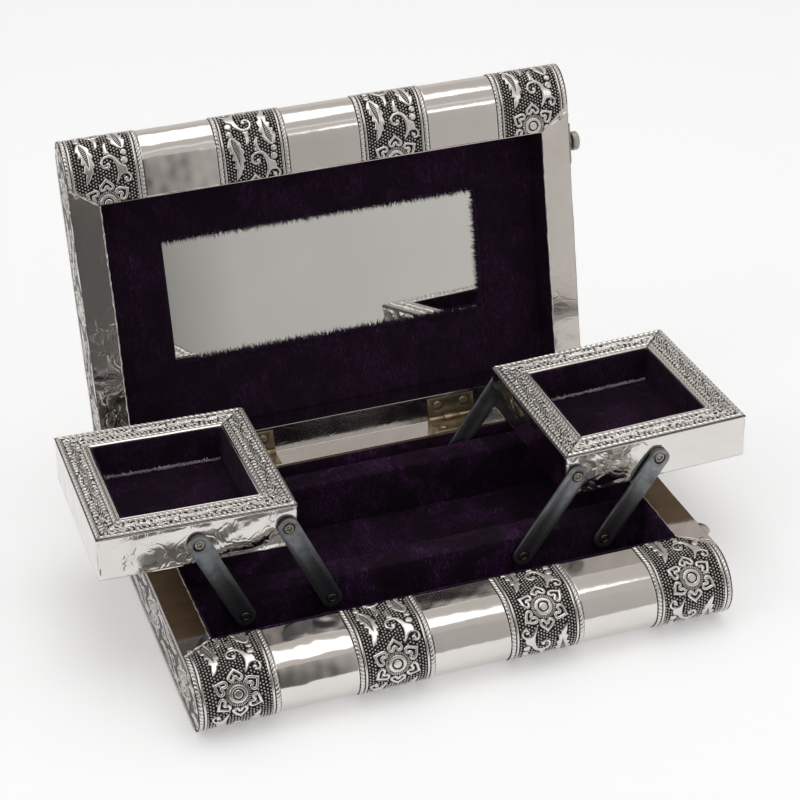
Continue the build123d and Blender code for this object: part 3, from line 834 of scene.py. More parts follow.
def make_link_tree():
    """Flat round-ended links with a hole at each end, turned to one angle."""
    shape = ShapeTree("Links", {
        "Length": 46.5 * MM, "Width": 10.0 * MM, "Thickness": 1.6 * MM, "Hole": 2.7 * MM, "Swing": 1.0,
    })
    given = shape.given
    half = shape.maths("MULTIPLY", given["Length"], 0.5)
    outline = shape.add(
        "GeometryNodeCurvePrimitiveQuadrilateral",
        {"Width": shape.maths("ADD", given["Length"], given["Width"]), "Height": given["Width"]},
    )
    corner = shape.maths("MULTIPLY", given["Width"], 0.4995)
    outline = shape.add(
        "GeometryNodeFilletCurve", {"Curve": outline, "Count": 12, "Radius": corner}, mode="POLY",
    )
    outline = shape.move(outline, translation=shape.vector(half))
    hole = shape.circle(28, given["Hole"])
    far_hole = shape.move(hole, translation=shape.vector(given["Length"]))
    plate = shape.add(
        "GeometryNodeFillCurve", {"Curve": shape.join(outline, hole, far_hole)}, mode="NGONS"
    )
    raised = shape.add(
        "GeometryNodeExtrudeMesh", {"Mesh": plate, "Offset Scale": given["Thickness"], "Individual": False}
    )
    under = shape.add("GeometryNodeFlipFaces", {"Mesh": plate})
    solid = shape.add(
        "GeometryNodeMergeByDistance", {"Geometry": shape.join(raised, under), "Distance": 0.01 * MM}
    )
    upright = shape.move(solid, rotation=(pi / 2, 0, 0))
    turned = shape.move(upright, rotation=shape.vector(0.0, given["Swing"], 0.0))
    shape.finish(shape.scatter(turned), smooth=False)


def make_rivet_tree():
    """Tubular rivet heads: a rolled rim round a sunk eye, on a washer."""
    shape = ShapeTree("Rivets", {
        "Head": 2.35 * MM, "Proud": 2.5 * MM, "Collar": 3.6 * MM, "Collar height": 0.9 * MM,
    })
    ring_share, tube_share, eye_share = 0.76, 0.24, 0.78
    rim_lift, eye_sink = 0.1 * MM, 0.3 * MM
    given = shape.given
    ring = shape.circle(28, shape.maths("MULTIPLY", given["Head"], ring_share))
    tube = shape.circle(10, shape.maths("MULTIPLY", given["Head"], tube_share))
    rim = shape.add("GeometryNodeCurveToMesh", {"Curve": ring, "Profile Curve": tube})
    rim_height = shape.maths("ADD", given["Proud"], rim_lift)
    rim = shape.move(rim, translation=shape.vector(0.0, 0.0, rim_height))
    eye = shape.add(
        "GeometryNodeMeshCylinder",
        {"Vertices": 24, "Radius": shape.maths("MULTIPLY", given["Head"], eye_share),
         "Depth": shape.maths("ADD", given["Proud"], eye_sink)},
    )
    eye_middle = shape.maths("MULTIPLY", given["Proud"], 0.5)
    eye = shape.move(eye, translation=shape.vector(0.0, 0.0, eye_middle))
    collar = shape.add(
        "GeometryNodeMeshCylinder",
        {"Vertices": 32, "Radius": given["Collar"], "Depth": given["Collar height"]},
    )
    collar_middle = shape.maths("MULTIPLY", given["Collar height"], 0.5)
    collar = shape.move(collar, translation=shape.vector(0.0, 0.0, collar_middle))
    shape.finish(shape.scatter(shape.join(rim, eye, collar), shape.along("axis")))


def make_dome_tree():
    """Round nail and screw heads, with a slot cut when asked."""
    shape = ShapeTree("Round heads", {"Radius": 1.4 * MM, "Rise": 0.5, "Slot": 0.0})
    given = shape.given
    ball = shape.add(
        "GeometryNodeMeshUVSphere", {"Segments": 24, "Rings": 12, "Radius": given["Radius"]}
    )
    dome = shape.move(ball, scale=shape.vector(1.0, 1.0, given["Rise"]))
    length_share, depth_share = 8.0, 2.2
    cut_length = shape.maths("MULTIPLY", given["Slot"], length_share)
    cut_depth = shape.maths("MULTIPLY", given["Slot"], depth_share)
    cut_size = shape.vector(cut_length, given["Slot"], cut_depth)
    cutter = shape.add("GeometryNodeMeshCube", {"Size": cut_size})
    height = shape.maths("MULTIPLY", given["Radius"], given["Rise"])
    cutter = shape.move(cutter, translation=shape.vector(0.0, 0.0, height))
    head = shape.add(
        "GeometryNodeMeshBoolean", {"Mesh 1": dome, "Mesh 2": cutter}, operation="DIFFERENCE"
    )
    shape.finish(shape.scatter(head, shape.along("axis")))


def make_trees():
    """Builds every Geometry Nodes tree."""
    make_bead_tree()
    make_pile_tree()
    make_link_tree()
    make_rivet_tree()
    make_dome_tree()


def grown(name, tree_name, points, material, vectors=None, **values):
    """A plain mesh made by a tree on points in metres, with optional stored vectors."""
    mesh = bpy.data.meshes.new(name + "_points")
    mesh.from_pydata([tuple(p) for p in points], [], [])
    for key, value in (vectors or {}).items():
        flat = np.asarray(value, np.float32).reshape(-1)
        mesh.attributes.new(key, "FLOAT_VECTOR", "POINT").data.foreach_set("vector", flat)
    piece = linked_object(name, mesh)
    modifier = piece.modifiers.new(tree_name, "NODES")
    tree = bpy.data.node_groups[tree_name]
    modifier.node_group = tree
    values["Material"] = finish(material)
    for item in tree.interface.items_tree:
        if item.in_out == "INPUT" and item.name.replace(" ", "_") in values:
            modifier[item.identifier] = values[item.name.replace(" ", "_")]
    return settle(piece)


# ---- Embossed pattern, in millimetres ----
def polygon_distance(p, q, outline):
    """Signed distance to a closed outline, negative inside."""
    best = np.full(p.shape, np.inf)
    inside = np.zeros(p.shape, bool)
    for (x0, y0), (x1, y1) in zip(outline, np.roll(outline, -1, axis=0)):
        dx, dy = x1 - x0, y1 - y0
        t = np.clip(((p - x0) * dx + (q - y0) * dy) / (dx * dx + dy * dy + 1e-12), 0, 1)
        best = np.minimum(best, np.hypot(p - x0 - t * dx, q - y0 - t * dy))
        crosses = (y0 > q) != (y1 > q)
        if dy:
            inside ^= crosses & (p < x0 + (q - y0) * dx / dy)
    return np.where(inside, -best, best)


def line_distance(p, q, line):
    """Distance from a polyline."""
    best = np.full(p.shape, np.inf)
    for (x0, y0), (x1, y1) in zip(line, line[1:]):
        dx, dy = x1 - x0, y1 - y0
        t = np.clip(((p - x0) * dx + (q - y0) * dy) / (dx * dx + dy * dy), 0, 1)
        best = np.minimum(best, np.hypot(p - x0 - t * dx, q - y0 - t * dy))
    return best


def smooth_line(points, count=10):
    """A rounded line through a few points."""
    points = np.asarray(points, float)
    padded = np.concatenate((2 * points[:1] - points[1:2], points, 2 * points[-1:] - points[-2:-1]))
    out = []
    for a, b, c, d in zip(padded, padded[1:], padded[2:], padded[3:]):
        for t in np.arange(count) / count:
            out.append(0.5 * (2 * b + (c - a) * t + (2 * a - 5 * b + 4 * c - d) * t**2
                              + (3 * b - a - 3 * c + d) * t**3))
    return np.array(out + [points[-1]])


def heart_outline(turn):
    """A heart whose tip points away from the rosette's middle."""
    t = np.linspace(0, 2 * pi, 40, endpoint=False)
    side = PETAL_WIDTH / 2 * np.sin(t) ** 3
    tip = -(13 * np.cos(t) - 5 * np.cos(2 * t) - 2 * np.cos(3 * t) - np.cos(4 * t))
    share = (tip - tip.min()) / (tip.max() - tip.min())
    out = PETAL_LOBES + (PETAL_TIP - PETAL_LOBES) * share
    c, s = cos(turn), sin(turn)
    return np.stack((out * c - side * s, out * s + side * c), 1)


REPEAT = 56.2               # one rosette to the next along a band
PETALS = 6
PETAL_LOBES = 5.6
PETAL_TIP = 12.7
PETAL_WIDTH = 7.6
BOSS = 4.3
RAYS = 38
ROPE = 2.1
LINE_INSET = 3.05           # the smooth line's distance from the band's edge
LINE_HALF = 0.6
FIELD_INSET = 3.9           # the beaded field's distance from the band's edge
LEAF = (
    (-9.6, 9.3), (-9.5, 11.0), (-9.3, 13.2), (-8.8, 15.4), (-10.0, 15.8), (-9.6, 17.4), (-9.2, 19.4),
    (-10.9, 20.0), (-10.4, 21.4), (-10.1, 22.8), (-11.9, 23.0), (-11.4, 24.4), (-11.3, 25.6), (-12.5, 26.2),
    (-12.2, 27.6), (-11.8, 29.2), (-11.0, 30.8), (-9.6, 31.4), (-8.2, 30.9), (-7.0, 29.5), (-5.8, 28.4),
    (-5.0, 26.6), (-5.6, 25.8), (-4.6, 24.9), (-3.9, 23.2), (-4.9, 22.2), (-4.4, 20.6), (-3.9, 18.8),
    (-5.2, 18.1), (-5.0, 16.4), (-5.3, 14.6), (-6.1, 14.5), (-6.5, 12.9), (-7.5, 11.4), (-8.5, 10.4),
)
LENS = (
    (-10.0, 30.6), (-10.2, 28.0), (-9.7, 25.4), (-8.9, 23.0), (-8.0, 20.4), (-7.5, 18.2), (-7.15, 16.8),
    (-6.85, 18.4), (-6.7, 21.0), (-6.8, 23.8), (-7.2, 26.4), (-8.1, 28.4), (-9.2, 29.9),
)
STEM = (
    (4.3, 8.2), (5.6, 9.0), (6.8, 10.6), (7.8, 12.3), (9.2, 13.0), (11.0, 13.4), (11.2, 15.2), (10.6, 17.0),
    (9.0, 17.8), (8.0, 18.6), (7.5, 19.8), (6.4, 21.4), (4.6, 22.9), (2.4, 23.4), (2.6, 21.6), (4.4, 20.6),
    (5.6, 18.2), (6.1, 15.6), (6.0, 13.2), (5.3, 10.8),
)
SPUR = (
    (0.4, 22.8), (1.0, 24.4), (0.9, 26.4), (1.1, 28.4), (1.8, 29.4), (3.2, 30.1), (3.0, 28.2), (2.9, 26.2),
    (3.3, 24.6), (4.2, 23.2),
)
COIL = ((4.6, 21.5), (3.0, 22.1), (0.9, 21.9), (-0.5, 20.8), (-0.9, 19.2), (-0.5, 17.7), (0.7, 16.8),
        (2.1, 17.0), (2.7, 18.1))
HOOK = ((9.0, 13.4), (10.8, 13.2), (12.1, 11.9), (12.2, 10.2), (11.2, 9.2), (9.9, 9.2))
BALLS = ((10.1, 19.4, 1.95), (10.4, 23.3, 1.75), (2.2, 18.3, 1.15), (9.8, 10.5, 1.25))


def raise_to(height, distance, top, edge=0.34):
    """Adds a rounded plateau where the distance is negative."""
    return np.maximum(height, top * step(-0.02, edge, -distance))


def rosette(p, q, height):
    """Ringed boss, rays and six heart petals round (0, 0)."""
    radius = np.hypot(p, q)
    turn = np.arctan2(q, p)
    boss = (1.0 - 0.12 * step(0.5, 0.0, np.abs(radius - 3.4))) * step(-0.02, 0.34, BOSS - radius)
    height = np.maximum(height, boss)
    height = height - step(0.58, 0.24, np.abs(radius - 2.3))
    rays = step(0.0, 0.6, np.cos(RAYS * turn)) * step(0.3, 0.05, np.abs(radius - 5.05) - 0.45)
    height = np.maximum(height, 0.7 * rays)
    for k in range(PETALS):
        outline = heart_outline(pi / 2 + 2 * pi * k / PETALS)
        distance = polygon_distance(p, q, outline)
        height = raise_to(height, distance, 1.0)
        height = height - step(0.62, 0.26, np.abs(distance + 1.7))
    return height


def spray(p, q, height):
    """Feather leaf, scroll, curl and balls between two rosettes."""
    for outline in (STEM, SPUR):
        height = raise_to(height, polygon_distance(p, q, np.array(outline)), 0.95, 0.5)
    for line, half in ((COIL, 0.75), (HOOK, 0.66)):
        height = raise_to(height, line_distance(p, q, smooth_line(line, 5)) - half, 0.95, 0.5)
    for x, y, radius in BALLS:
        height = raise_to(height, np.hypot(p - x, q - y) - radius, 1.0, 0.8)
    height = raise_to(height, polygon_distance(p, q, np.array(LEAF)), 0.92, 0.45)
    lens = polygon_distance(p, q, np.array(LENS))
    height = height - 0.9 * step(0.1, -0.3, lens)
    bars = step(0.0, 0.7, np.cos(2 * pi * (q - 0.5 * p) / 1.05)) * step(-0.25, -0.6, lens)
    return height + 0.55 * bars


def rope(across, along, width, pitch):
    """A twisted cord of the given width about across = 0, from 0 to 1."""
    body = np.sqrt(np.clip(1 - (2 * across / width) ** 2, 0, 1))
    twist = np.abs(np.cos(pi * (along / pitch + 0.75 * across / width)))
    return body * (0.10 + 0.90 * twist**0.6)


def band_relief(p, q, half_width):
    """Height of an embossed band, from 0 to 1.

    p runs across from the band's middle and q along from a rosette, both in millimetres.
    """
    wrapped = (q + REPEAT / 2) % REPEAT - REPEAT / 2
    upper = q % REPEAT
    height = rosette(p, wrapped, np.zeros(p.shape))
    height = spray(p, upper, height)
    height = spray(-p, REPEAT - upper, height)
    edge = half_width - np.abs(p)
    height = np.where(edge > FIELD_INSET, height, 0.0)
    height = np.maximum(height, 0.9 * step(LINE_HALF + 0.05, LINE_HALF - 0.35, np.abs(edge - LINE_INSET)))
    return np.maximum(height, rope(edge - ROPE / 2, q, ROPE, 2.1))


FRAME_ROPE = 2.3
ROPE_PITCH = 2.9
FRAME_MARGIN = 0.5          # plain foil outside the outer cord
FRAME_FLANGE = 1.5          # plain foil between the inner cord and the tray's opening
STRAND = 2.35               # one leaf of the scroll to the next


def vine_relief(s, t, width):
    """Curling foliage, leaning along the strip, between two twisted borders and a plain inner flange."""
    outer, inner = FRAME_MARGIN, width - FRAME_FLANGE
    middle = t - (outer + inner) / 2
    reach = (inner - outer) / 2 - FRAME_ROPE - 0.35
    sway = 0.55 * np.sin(2 * pi * s / 11.0) + 0.35 * waves(s, middle, 8, 301)
    lean = s + 1.15 * middle + 0.9 * np.sin(1.3 * middle / reach * pi + sway) + 0.8 * sway
    leaf = step(-0.15, 0.35, np.cos(2 * pi * lean / STRAND))
    leaf = leaf * step(-0.95, -0.45, waves(s, middle, 2.6, 302))
    curls = np.cos(2 * pi * (lean * 0.55 - 1.9 * middle) / STRAND)
    bridge = step(0.45, 0.75, curls) * step(0.1, 0.5, waves(s, middle, 3.4, 303))
    height = np.maximum(leaf, 0.75 * bridge) * step(reach + 0.2, reach - 0.15, np.abs(middle))
    height = np.maximum(height, rope(t - outer - FRAME_ROPE / 2, s, FRAME_ROPE, ROPE_PITCH))
    height = np.maximum(height, rope(t - inner + FRAME_ROPE / 2, s, FRAME_ROPE, ROPE_PITCH))
    return np.maximum(height, 0.55 * step(inner + 0.1, inner + 0.4, t))


# ---- The half-round front ----
# Points across and along each kind of sheet; a side sheet's last count goes round its nose.
BAND_GRID = (164, 276)
PLAIN_GRID = (60, 130)
SIDE_GRID = (100, 340, 46)
NOSE_STEPS = 600

# Levels of the sheets over the CAD's surfaces, in millimetres.
BAND_GROUND, BEAD_SEAT = -0.38, -0.33
PLAIN_LEVEL, PLAIN_BACK = -0.42, -0.8
SIDE_LEVEL, SIDE_RELIEF, SIDE_BACK = -0.25, 0.30, -0.4

CORNER_REACH = 8.6          # how far a side rim's foil laps over the front rail at its outer end
CORNER_SINK = 0.25          # how far a band lies lower under that foil
WIDEST_PLAIN_BAND = 40.0

# Distance from the rim to a rosette of each embossed band, and how much each plain band is dented.
ROSETTES = {"base": (32.7, 35.4, 24.2, 26.3), "lid": (0.1, -9.4, -1.4, 3.6)}
DENTS = {"base": (1.7, 0.9, 0.5), "lid": (1.4, 0.6, 0.5)}

SIDE_STRIP = 34.8           # width of the embossed strip that covers an end
SIDE_PHASE = 145.0          # distance from the hinge to a rosette on it
STIPPLE_PITCH = 1.58


def half_span(half):
    """Heights of a half's rim and of its far face, in the rim's own frame."""
    size = sizes()
    gap = size["rim_gap"] / 2
    return (-gap, -BASE_HEIGHT) if half == "base" else (gap, size["lid_height"])


def nose_start():
    """Y where the front rail's half-round nose begins."""
    return OPENING_FRONT - sizes()["front_flat"]


def nose_stations(half):
    """Finely spaced points and outward normals round a front rail, from its rim to its far face.

    They are in the rim's own Y and Z, with the distance along the way.
    """
    depth = sizes()["nose_depth"]
    near, far = half_span(half)
    middle, semi = (near + far) / 2, (near - far) / 2
    turns = np.linspace(0, pi, NOSE_STEPS)
    arc = np.stack((nose_start() - depth * np.sin(turns), middle + semi * np.cos(turns)), 1)
    arc_normal = np.stack((-np.sin(turns) / depth, np.cos(turns) / semi), 1)
    arc_normal /= np.linalg.norm(arc_normal, axis=1)[:, None]
    points = np.concatenate((((OPENING_FRONT, near),), arc, ((OPENING_FRONT, far),)))
    normals = np.concatenate((arc_normal[:1], arc_normal, arc_normal[-1:]))
    return points, normals, way_along(points)


def nose_length(half):
    """Distance round a front rail, from the opening over the nose to the far face's end."""
    return nose_stations(half)[2][-1]


def nose_surface(half, across, along, lift):
    """Points of the half-round front in metres: X, distance from the rim's back edge, and lift."""
    points, normals, way = nose_stations(half)
    out = read_along(way, normals, along)
    out /= np.linalg.norm(out, axis=-1)[..., None]
    spot = read_along(way, points, along) + out * lift[..., None]
    return to_world(np.concatenate((across[..., None], spot), -1), HINGE, rim_of(half))


def strip_back(half, low, high, along, level):
    """The two back edges of a band between two X, at one level."""
    edge = np.broadcast_to(np.array((low, high))[:, None], (2, len(along)))
    return nose_surface(half, edge, np.broadcast_to(along, edge.shape), np.full(edge.shape, level))


def corner_cover(across, along):
    """1 where a side rim's mitred foil lies over the front rail's corner."""
    reach = CORNER_REACH * (np.abs(across) - INNER_HALF) / (HALF_LENGTH - INNER_HALF)
    return step(-0.5, 0.1, reach - along)


def along_pattern(half, start, along):
    """Distance along a band's pattern from its rosette; it runs the other way on the lid."""
    return start - along if half == "base" else along - start


def spans_of(node):
    """X ends, in millimetres, of the separate solids of a CAD node along the box."""
    xs = np.unique(np.round(cad_points(node)[:, 0], 2))
    close = [pair for pair in zip(xs, xs[1:]) if pair[1] - pair[0] < WIDEST_PLAIN_BAND]
    distinct = sorted({xs[0], xs[-1]}.union(*close))
    return [(distinct[i], distinct[i + 1]) for i in range(0, len(distinct) - 1, 2)]


def band_middle(half, index):
    """X of an embossed band's middle and its half width, from the CAD bands."""
    end = cad_mm(f"{half}_embossed_bands", 1, "x")
    gaps = spans_of(f"{half}_plain_bands")
    edges = [-end] + [x for span in gaps for x in span] + [end]
    assert len(edges) == 2 * len(ROSETTES[half])
    low, high = edges[2 * index], edges[2 * index + 1]
    return (low + high) / 2, (high - low) / 2


def make_embossed_band(half, index):
    """One embossed band with its beads."""
    size = sizes()
    middle, half_width = band_middle(half, index)
    start = ROSETTES[half][index]
    v = np.linspace(0, nose_length(half), BAND_GRID[1])
    p, s = grid(np.linspace(-half_width, half_width, BAND_GRID[0]), v)
    cover = corner_cover(p + middle, s)
    relief = band_relief(p, along_pattern(half, start, s), half_width) * (1 - cover)
    swell = 0.04 * waves(p, s, 16, 40 + index) * (1 - cover)
    lift = BAND_GROUND - CORNER_SINK * cover + swell + size["relief"] * relief
    front = nose_surface(half, p + middle, s, lift)
    back = strip_back(half, middle - half_width, middle + half_width, v, -size["band_sheet"])
    name, parts = f"{half}_band_{index + 1}", sheet_parts(front, back, relief)
    metal_sheet(name, parts, "embossed_band", half, "embossed", f"{half}_embossed_bands")
    make_beads(half, index, middle, half_width, start)


def make_beads(half, index, middle, half_width, start):
    """The beaded ground of one band: staggered rows wherever the pattern leaves room."""
    shake, lowest_relief, least_cover, ring_share = 0.05, 0.3, 0.1, 0.8
    size = sizes()
    way_length = nose_length(half)
    pitch = size["bead_pitch"]
    column_gap = pitch * sqrt(3) / 2
    columns = int(half_width / column_gap)
    rows = int(way_length / pitch)
    spots = [(k, n) for k in range(-columns, columns) for n in range(rows)]
    p = np.array([(k + 0.5) * column_gap for k, n in spots])
    s = np.array([(n + 0.5 + 0.5 * (k % 2)) * pitch for k, n in spots])
    shaken = np.random.default_rng(7 + index).normal(0, shake, (2, len(p)))
    p, s = p + shaken[0], s + shaken[1]
    q = along_pattern(half, start, s)
    ring = size["bead_radius"] * ring_share
    around = [
        band_relief(p + ring * cos(turn), q + ring * sin(turn), half_width)
        for turn in np.linspace(0, 2 * pi, 8, endpoint=False)
    ]
    bare = (np.max(around, axis=0) < lowest_relief) & (s < way_length - ring)
    bare &= corner_cover(p + middle, s) < least_cover
    bare &= half_width - np.abs(p) > FIELD_INSET + 0.25 * ring
    place = nose_surface(half, p[bare] + middle, s[bare], np.full(bare.sum(), BEAD_SEAT))
    name = f"{half}_band_{index + 1}_beads"
    beads = grown(name, "Beads", place, "bead_silver", Radius=size["bead_radius"] * MM)
    dress(beads, half, "embossed", f"{half}_embossed_bands")


def make_plain_band(half, index, span):
    """One polished band, dented a little by hand."""
    v = np.linspace(0, nose_length(half), PLAIN_GRID[1])
    p, s = grid(np.linspace(*span, PLAIN_GRID[0]), v)
    dents = DENTS[half][index] * lumps(p, s, ((0.045, 22, 60), (0.016, 8, 70)), index)
    front = nose_surface(half, p, s, PLAIN_LEVEL + dents)
    back = strip_back(half, *span, v, PLAIN_BACK)
    name, parts = f"{half}_plain_band_{index + 1}", sheet_parts(front, back, np.ones(p.shape))
    metal_sheet(name, parts, "band_foil", half, "foil", f"{half}_plain_bands")


def stipple(across, along):
    """Rows of small round dots, set like bricks, from 0 to 1."""
    column = np.round(along / STIPPLE_PITCH)
    shift = STIPPLE_PITCH / 2 * (column % 2)
    u = along - column * STIPPLE_PITCH
    v = (across - shift + STIPPLE_PITCH / 2) % STIPPLE_PITCH - STIPPLE_PITCH / 2
    return step(0.62, 0.30, np.hypot(u, v))


def make_side_sheet(half, side):
    """Embossed sheet on one end of a half: its outline is a rectangle with a half-round front."""
    tip_share, stipple_height = 0.9995, 0.5
    size = sizes()
    near, far = half_span(half)
    middle, semi = (near + far) / 2, abs(near - far) / 2
    nose, depth = nose_start(), size["nose_depth"]
    across_count, straight_count, nose_count = SIDE_GRID
    rounded = nose - depth * tip_share * np.sin(np.linspace(0, pi / 2, nose_count))[1:]
    y = np.concatenate((np.linspace(0, nose, straight_count), rounded))
    reach = semi * np.sqrt(np.clip(1 - (np.minimum(y - nose, 0) / depth) ** 2, 0, 1))
    z = middle + np.linspace(-1, 1, across_count)[:, None] * reach[None, :]
    s = np.broadcast_to(-y, z.shape)
    across = z - middle
    if half == "lid":
        across = across + (BASE_HEIGHT - size["lid_height"]) / 2
    relief = band_relief(across, s - SIDE_PHASE, SIDE_STRIP / 2)
    relief = np.maximum(relief, stipple_height * stipple(across, s) * step(0.12, 0.02, relief))
    relief = relief * step(0.1, 1.2, reach[None, :] - np.abs(z - middle))
    lift = HALF_LENGTH + SIDE_LEVEL + SIDE_RELIEF * relief + 0.05 * waves(s, z, 20, 90 + side)
    front = to_world(np.stack((side * lift, -s, z), -1), HINGE, rim_of(half))
    inner = np.full((2, len(y)), side * (HALF_LENGTH + SIDE_BACK))
    edges = np.stack((inner, np.broadcast_to(y, inner.shape), np.stack((z[0], z[-1]))), -1)
    parts = sheet_parts(front, to_world(edges, HINGE, rim_of(half)), relief)
    name = f"{half}_left_side_sheet" if side < 0 else f"{half}_right_side_sheet"
    metal_sheet(name, parts, "embossed_side", half, "embossed", f"{half}_side_foils")


# ---- Trays ----
FRAME_GRID = (62, 306)      # points across and along one side of a tray's frame
FRAME_GROUND, FRAME_RELIEF = 0.30, 0.80
SKIN_SINK = 0.15            # how far the crumpled foil lies inside the CAD's foil


def tray_place(hand):
    """Origin and axes of a tray: its inner upper pivot, with X along the tray."""
    side, tip = SIDES[hand], sizes()["tray_tip"]
    origin = np.array(JOINTS[f"{hand}_tray_level"]["pos_m"]) / MM
    s, c = side * sin(tip), cos(tip)
    return origin * (1, 0, 1), np.array(((c, 0.0, s), (0.0, 1.0, 0.0), (-s, 0.0, c)))


def tray_extents(hand, node):
    """Low and high X, Y and Z of one of a tray's CAD nodes, in the tray's own frame."""
    origin, axes = tray_place(hand)
    local = (cad_points(f"{hand}_tray_{node}") - origin) @ axes.T
    return local.min(0), local.max(0)


def frame_side(start, end, width, seat, seed):
    """One mitred side of a tray's frame in the tray's own frame, as front, back and relief."""
    mitre_dip, outer_fall, outer_reach, inner_fall, inner_reach = 0.3, 0.55, 0.9, 0.4, 0.8
    run = np.linalg.norm(end - start)
    along = (end - start) / run
    inward = np.array((-along[1], along[0]))
    across, share = grid(np.linspace(0, width, FRAME_GRID[0]), np.linspace(0, 1, FRAME_GRID[1]))
    s = across + (run - 2 * across) * share
    mitre = np.minimum(s - across, run - across - s)
    relief = vine_relief(s, across, width) * step(0.1, 0.7, mitre)
    bend = np.maximum(outer_reach - across, 0) / outer_reach
    fall = outer_fall * (1 - np.sqrt(np.clip(1 - bend ** 2, 0, 1)))
    fall = fall + inner_fall * step(width - inner_reach, width, across)
    height = seat + FRAME_GROUND + FRAME_RELIEF * relief - mitre_dip * step(0.4, 0.1, mitre) - fall
    height = height + 0.06 * waves(s, across, 22, seed)
    flat = start + along * s[..., None] + inward * across[..., None]
    front = np.concatenate((flat, height[..., None]), -1)
    back = front[[0, -1]]
    back[..., 2] = seat
    return front, back, relief


def make_tray_frame(hand):
    """Mitred embossed frame on a tray's rim."""
    origin, axes = tray_place(hand)
    low, high = tray_extents(hand, "frame")
    width = tray_extents(hand, "lining")[0][0] - low[0]
    corners = np.array([(low[0], low[1]), (high[0], low[1]), (high[0], high[1]), (low[0], high[1])])
    parts = []
    for k in range(4):
        front, back, relief = frame_side(corners[k], corners[(k + 1) % 4], width, low[2], 5 * k + 3)
        parts.append(sheet_parts(to_world(front, origin, axes), to_world(back, origin, axes), relief))
    name, body, node = f"{hand}_tray_rim", f"{hand}_tray", f"{hand}_tray_frame"
    metal_sheet(name, joined(parts), "embossed_frame", body, "embossed", node)


def rounded_loop(low, high, radius, per_side, per_corner=7):
    """Points and outward normals round a rectangle with rounded corners."""
    x0, y0, x1, y1 = *low, *high
    points, normals = [], []
    runs = (
        ((x0 + radius, y0), (x1 - radius, y0), -90), ((x1, y0 + radius), (x1, y1 - radius), 0),
        ((x1 - radius, y1), (x0 + radius, y1), 90), ((x0, y1 - radius), (x0, y0 + radius), 180),
    )
    for start, end, facing in runs:
        turn = radians(facing)
        out = np.array((cos(turn), sin(turn)))
        for share in np.linspace(0, 1, per_side):
            points.append(np.array(start) * (1 - share) + np.array(end) * share)
            normals.append(out)
        middle = np.array(end) - out * radius
        for corner_step in range(1, per_corner):
            bend = turn + radians(90) * corner_step / per_corner
            direction = np.array((cos(bend), sin(bend)))
            points.append(middle + direction * radius)
            normals.append(direction)
    return np.array(points), np.array(normals)


def make_tray_skin(hand):
    """Crumpled foil round a tray's outside."""
    corner_radius, thick, top_rise, fade_over = 1.1, 0.35, 0.02, 3.0
    origin, axes = tray_place(hand)
    low, high = tray_extents(hand, "foil")
    ring, out = rounded_loop(low[:2], high[:2], corner_radius, 90)
    place, z = np.meshgrid(np.arange(len(ring)), np.linspace(low[2], high[2] + top_rise, 30), indexing="xy")
    dents = lumps(way_along(ring)[place], z, ((0.12, 17, 21), (0.03, 6, 25)), SIDES[hand])
    fade = step(0.0, fade_over, z - low[2]) * step(0.0, fade_over, high[2] - z)
    flat = ring[place] + out[place] * ((dents - SKIN_SINK) * fade)[..., None]
    points = to_world(np.concatenate((flat, z[..., None]), -1), origin, axes).reshape(-1, 3)
    piece = new_mesh_object(f"{hand}_tray_skin", points, loop_faces(*z.shape), "crumpled_foil")
    settle(piece, thickened(thick))
    dress(piece, f"{hand}_tray", "foil", f"{hand}_tray_foil")


# ---- Plush ----
def plush_grid(name, points, body, keep=None):
    """An open plush surface over a grid of points in metres."""
    # The case's plush takes the lighter copy, with brighter painted sheen than the lid's and the trays'.
    material = "deep_plush" if body == "base" else "plush"
    return new_mesh_object(name, points.reshape(-1, 3), open_grid(points, keep), material)


def cloth(piece, thick, body, board, flat, *nodes, area=None):
    """Makes a surface a plush sheet: thick on the side away from its pile.

    The thickness is in millimetres; the flat size and the area are not used.
    """
    settle(piece, thickened(thick))
    dress(piece, body, "velvet", *nodes)


def fringe(name, line, lean, spacing, body, share=1.0, material="plush", spread=0.5, seed=1, thick=0.15):
    """Threads of pile along a line of metre points, leaning one way.

    share is their length against the pile's; the spacing and the thickness are in millimetres.
    """
    wander = 0.16
    line = np.asarray(line)
    way = way_along(line)
    count = max(2, int(way[-1] / (spacing * MM)))
    spots = read_along(way, line, np.linspace(0, way[-1], count))
    spots = spots + np.random.default_rng(seed).normal(0, wander * MM, spots.shape)
    lean = np.asarray(lean, float) / np.linalg.norm(lean)
    piece = grown(
        name, "Pile", spots, material, {"lean": np.broadcast_to(lean, spots.shape)},
        Length=sizes()["pile"] * share * MM, Thickness=thick * MM, Spread=spread, Seed=seed,
    )
    dress(piece, body, "velvet")


def make_case_floor():
    """Plush on the floor of the case."""
    level = FLOOR_TOP - 0.15
    low, high = cad_mm("base_floor_lining", 0, "y"), cad_mm("base_floor_lining", 1, "y")
    a, b = grid(np.linspace(-INNER_HALF, INNER_HALF, 150), np.linspace(low, high, 84))
    z = level + lumps(a, b, ((0.22, 26, 11), (0.08, 8, 12)))
    piece = plush_grid("case_floor_plush", np.stack((a, b, z), -1) * MM, "base")
    flat = (2 * INNER_HALF, high - low)
    cloth(piece, 0.8, "base", "base_bottom_board", flat, "base_floor_lining")


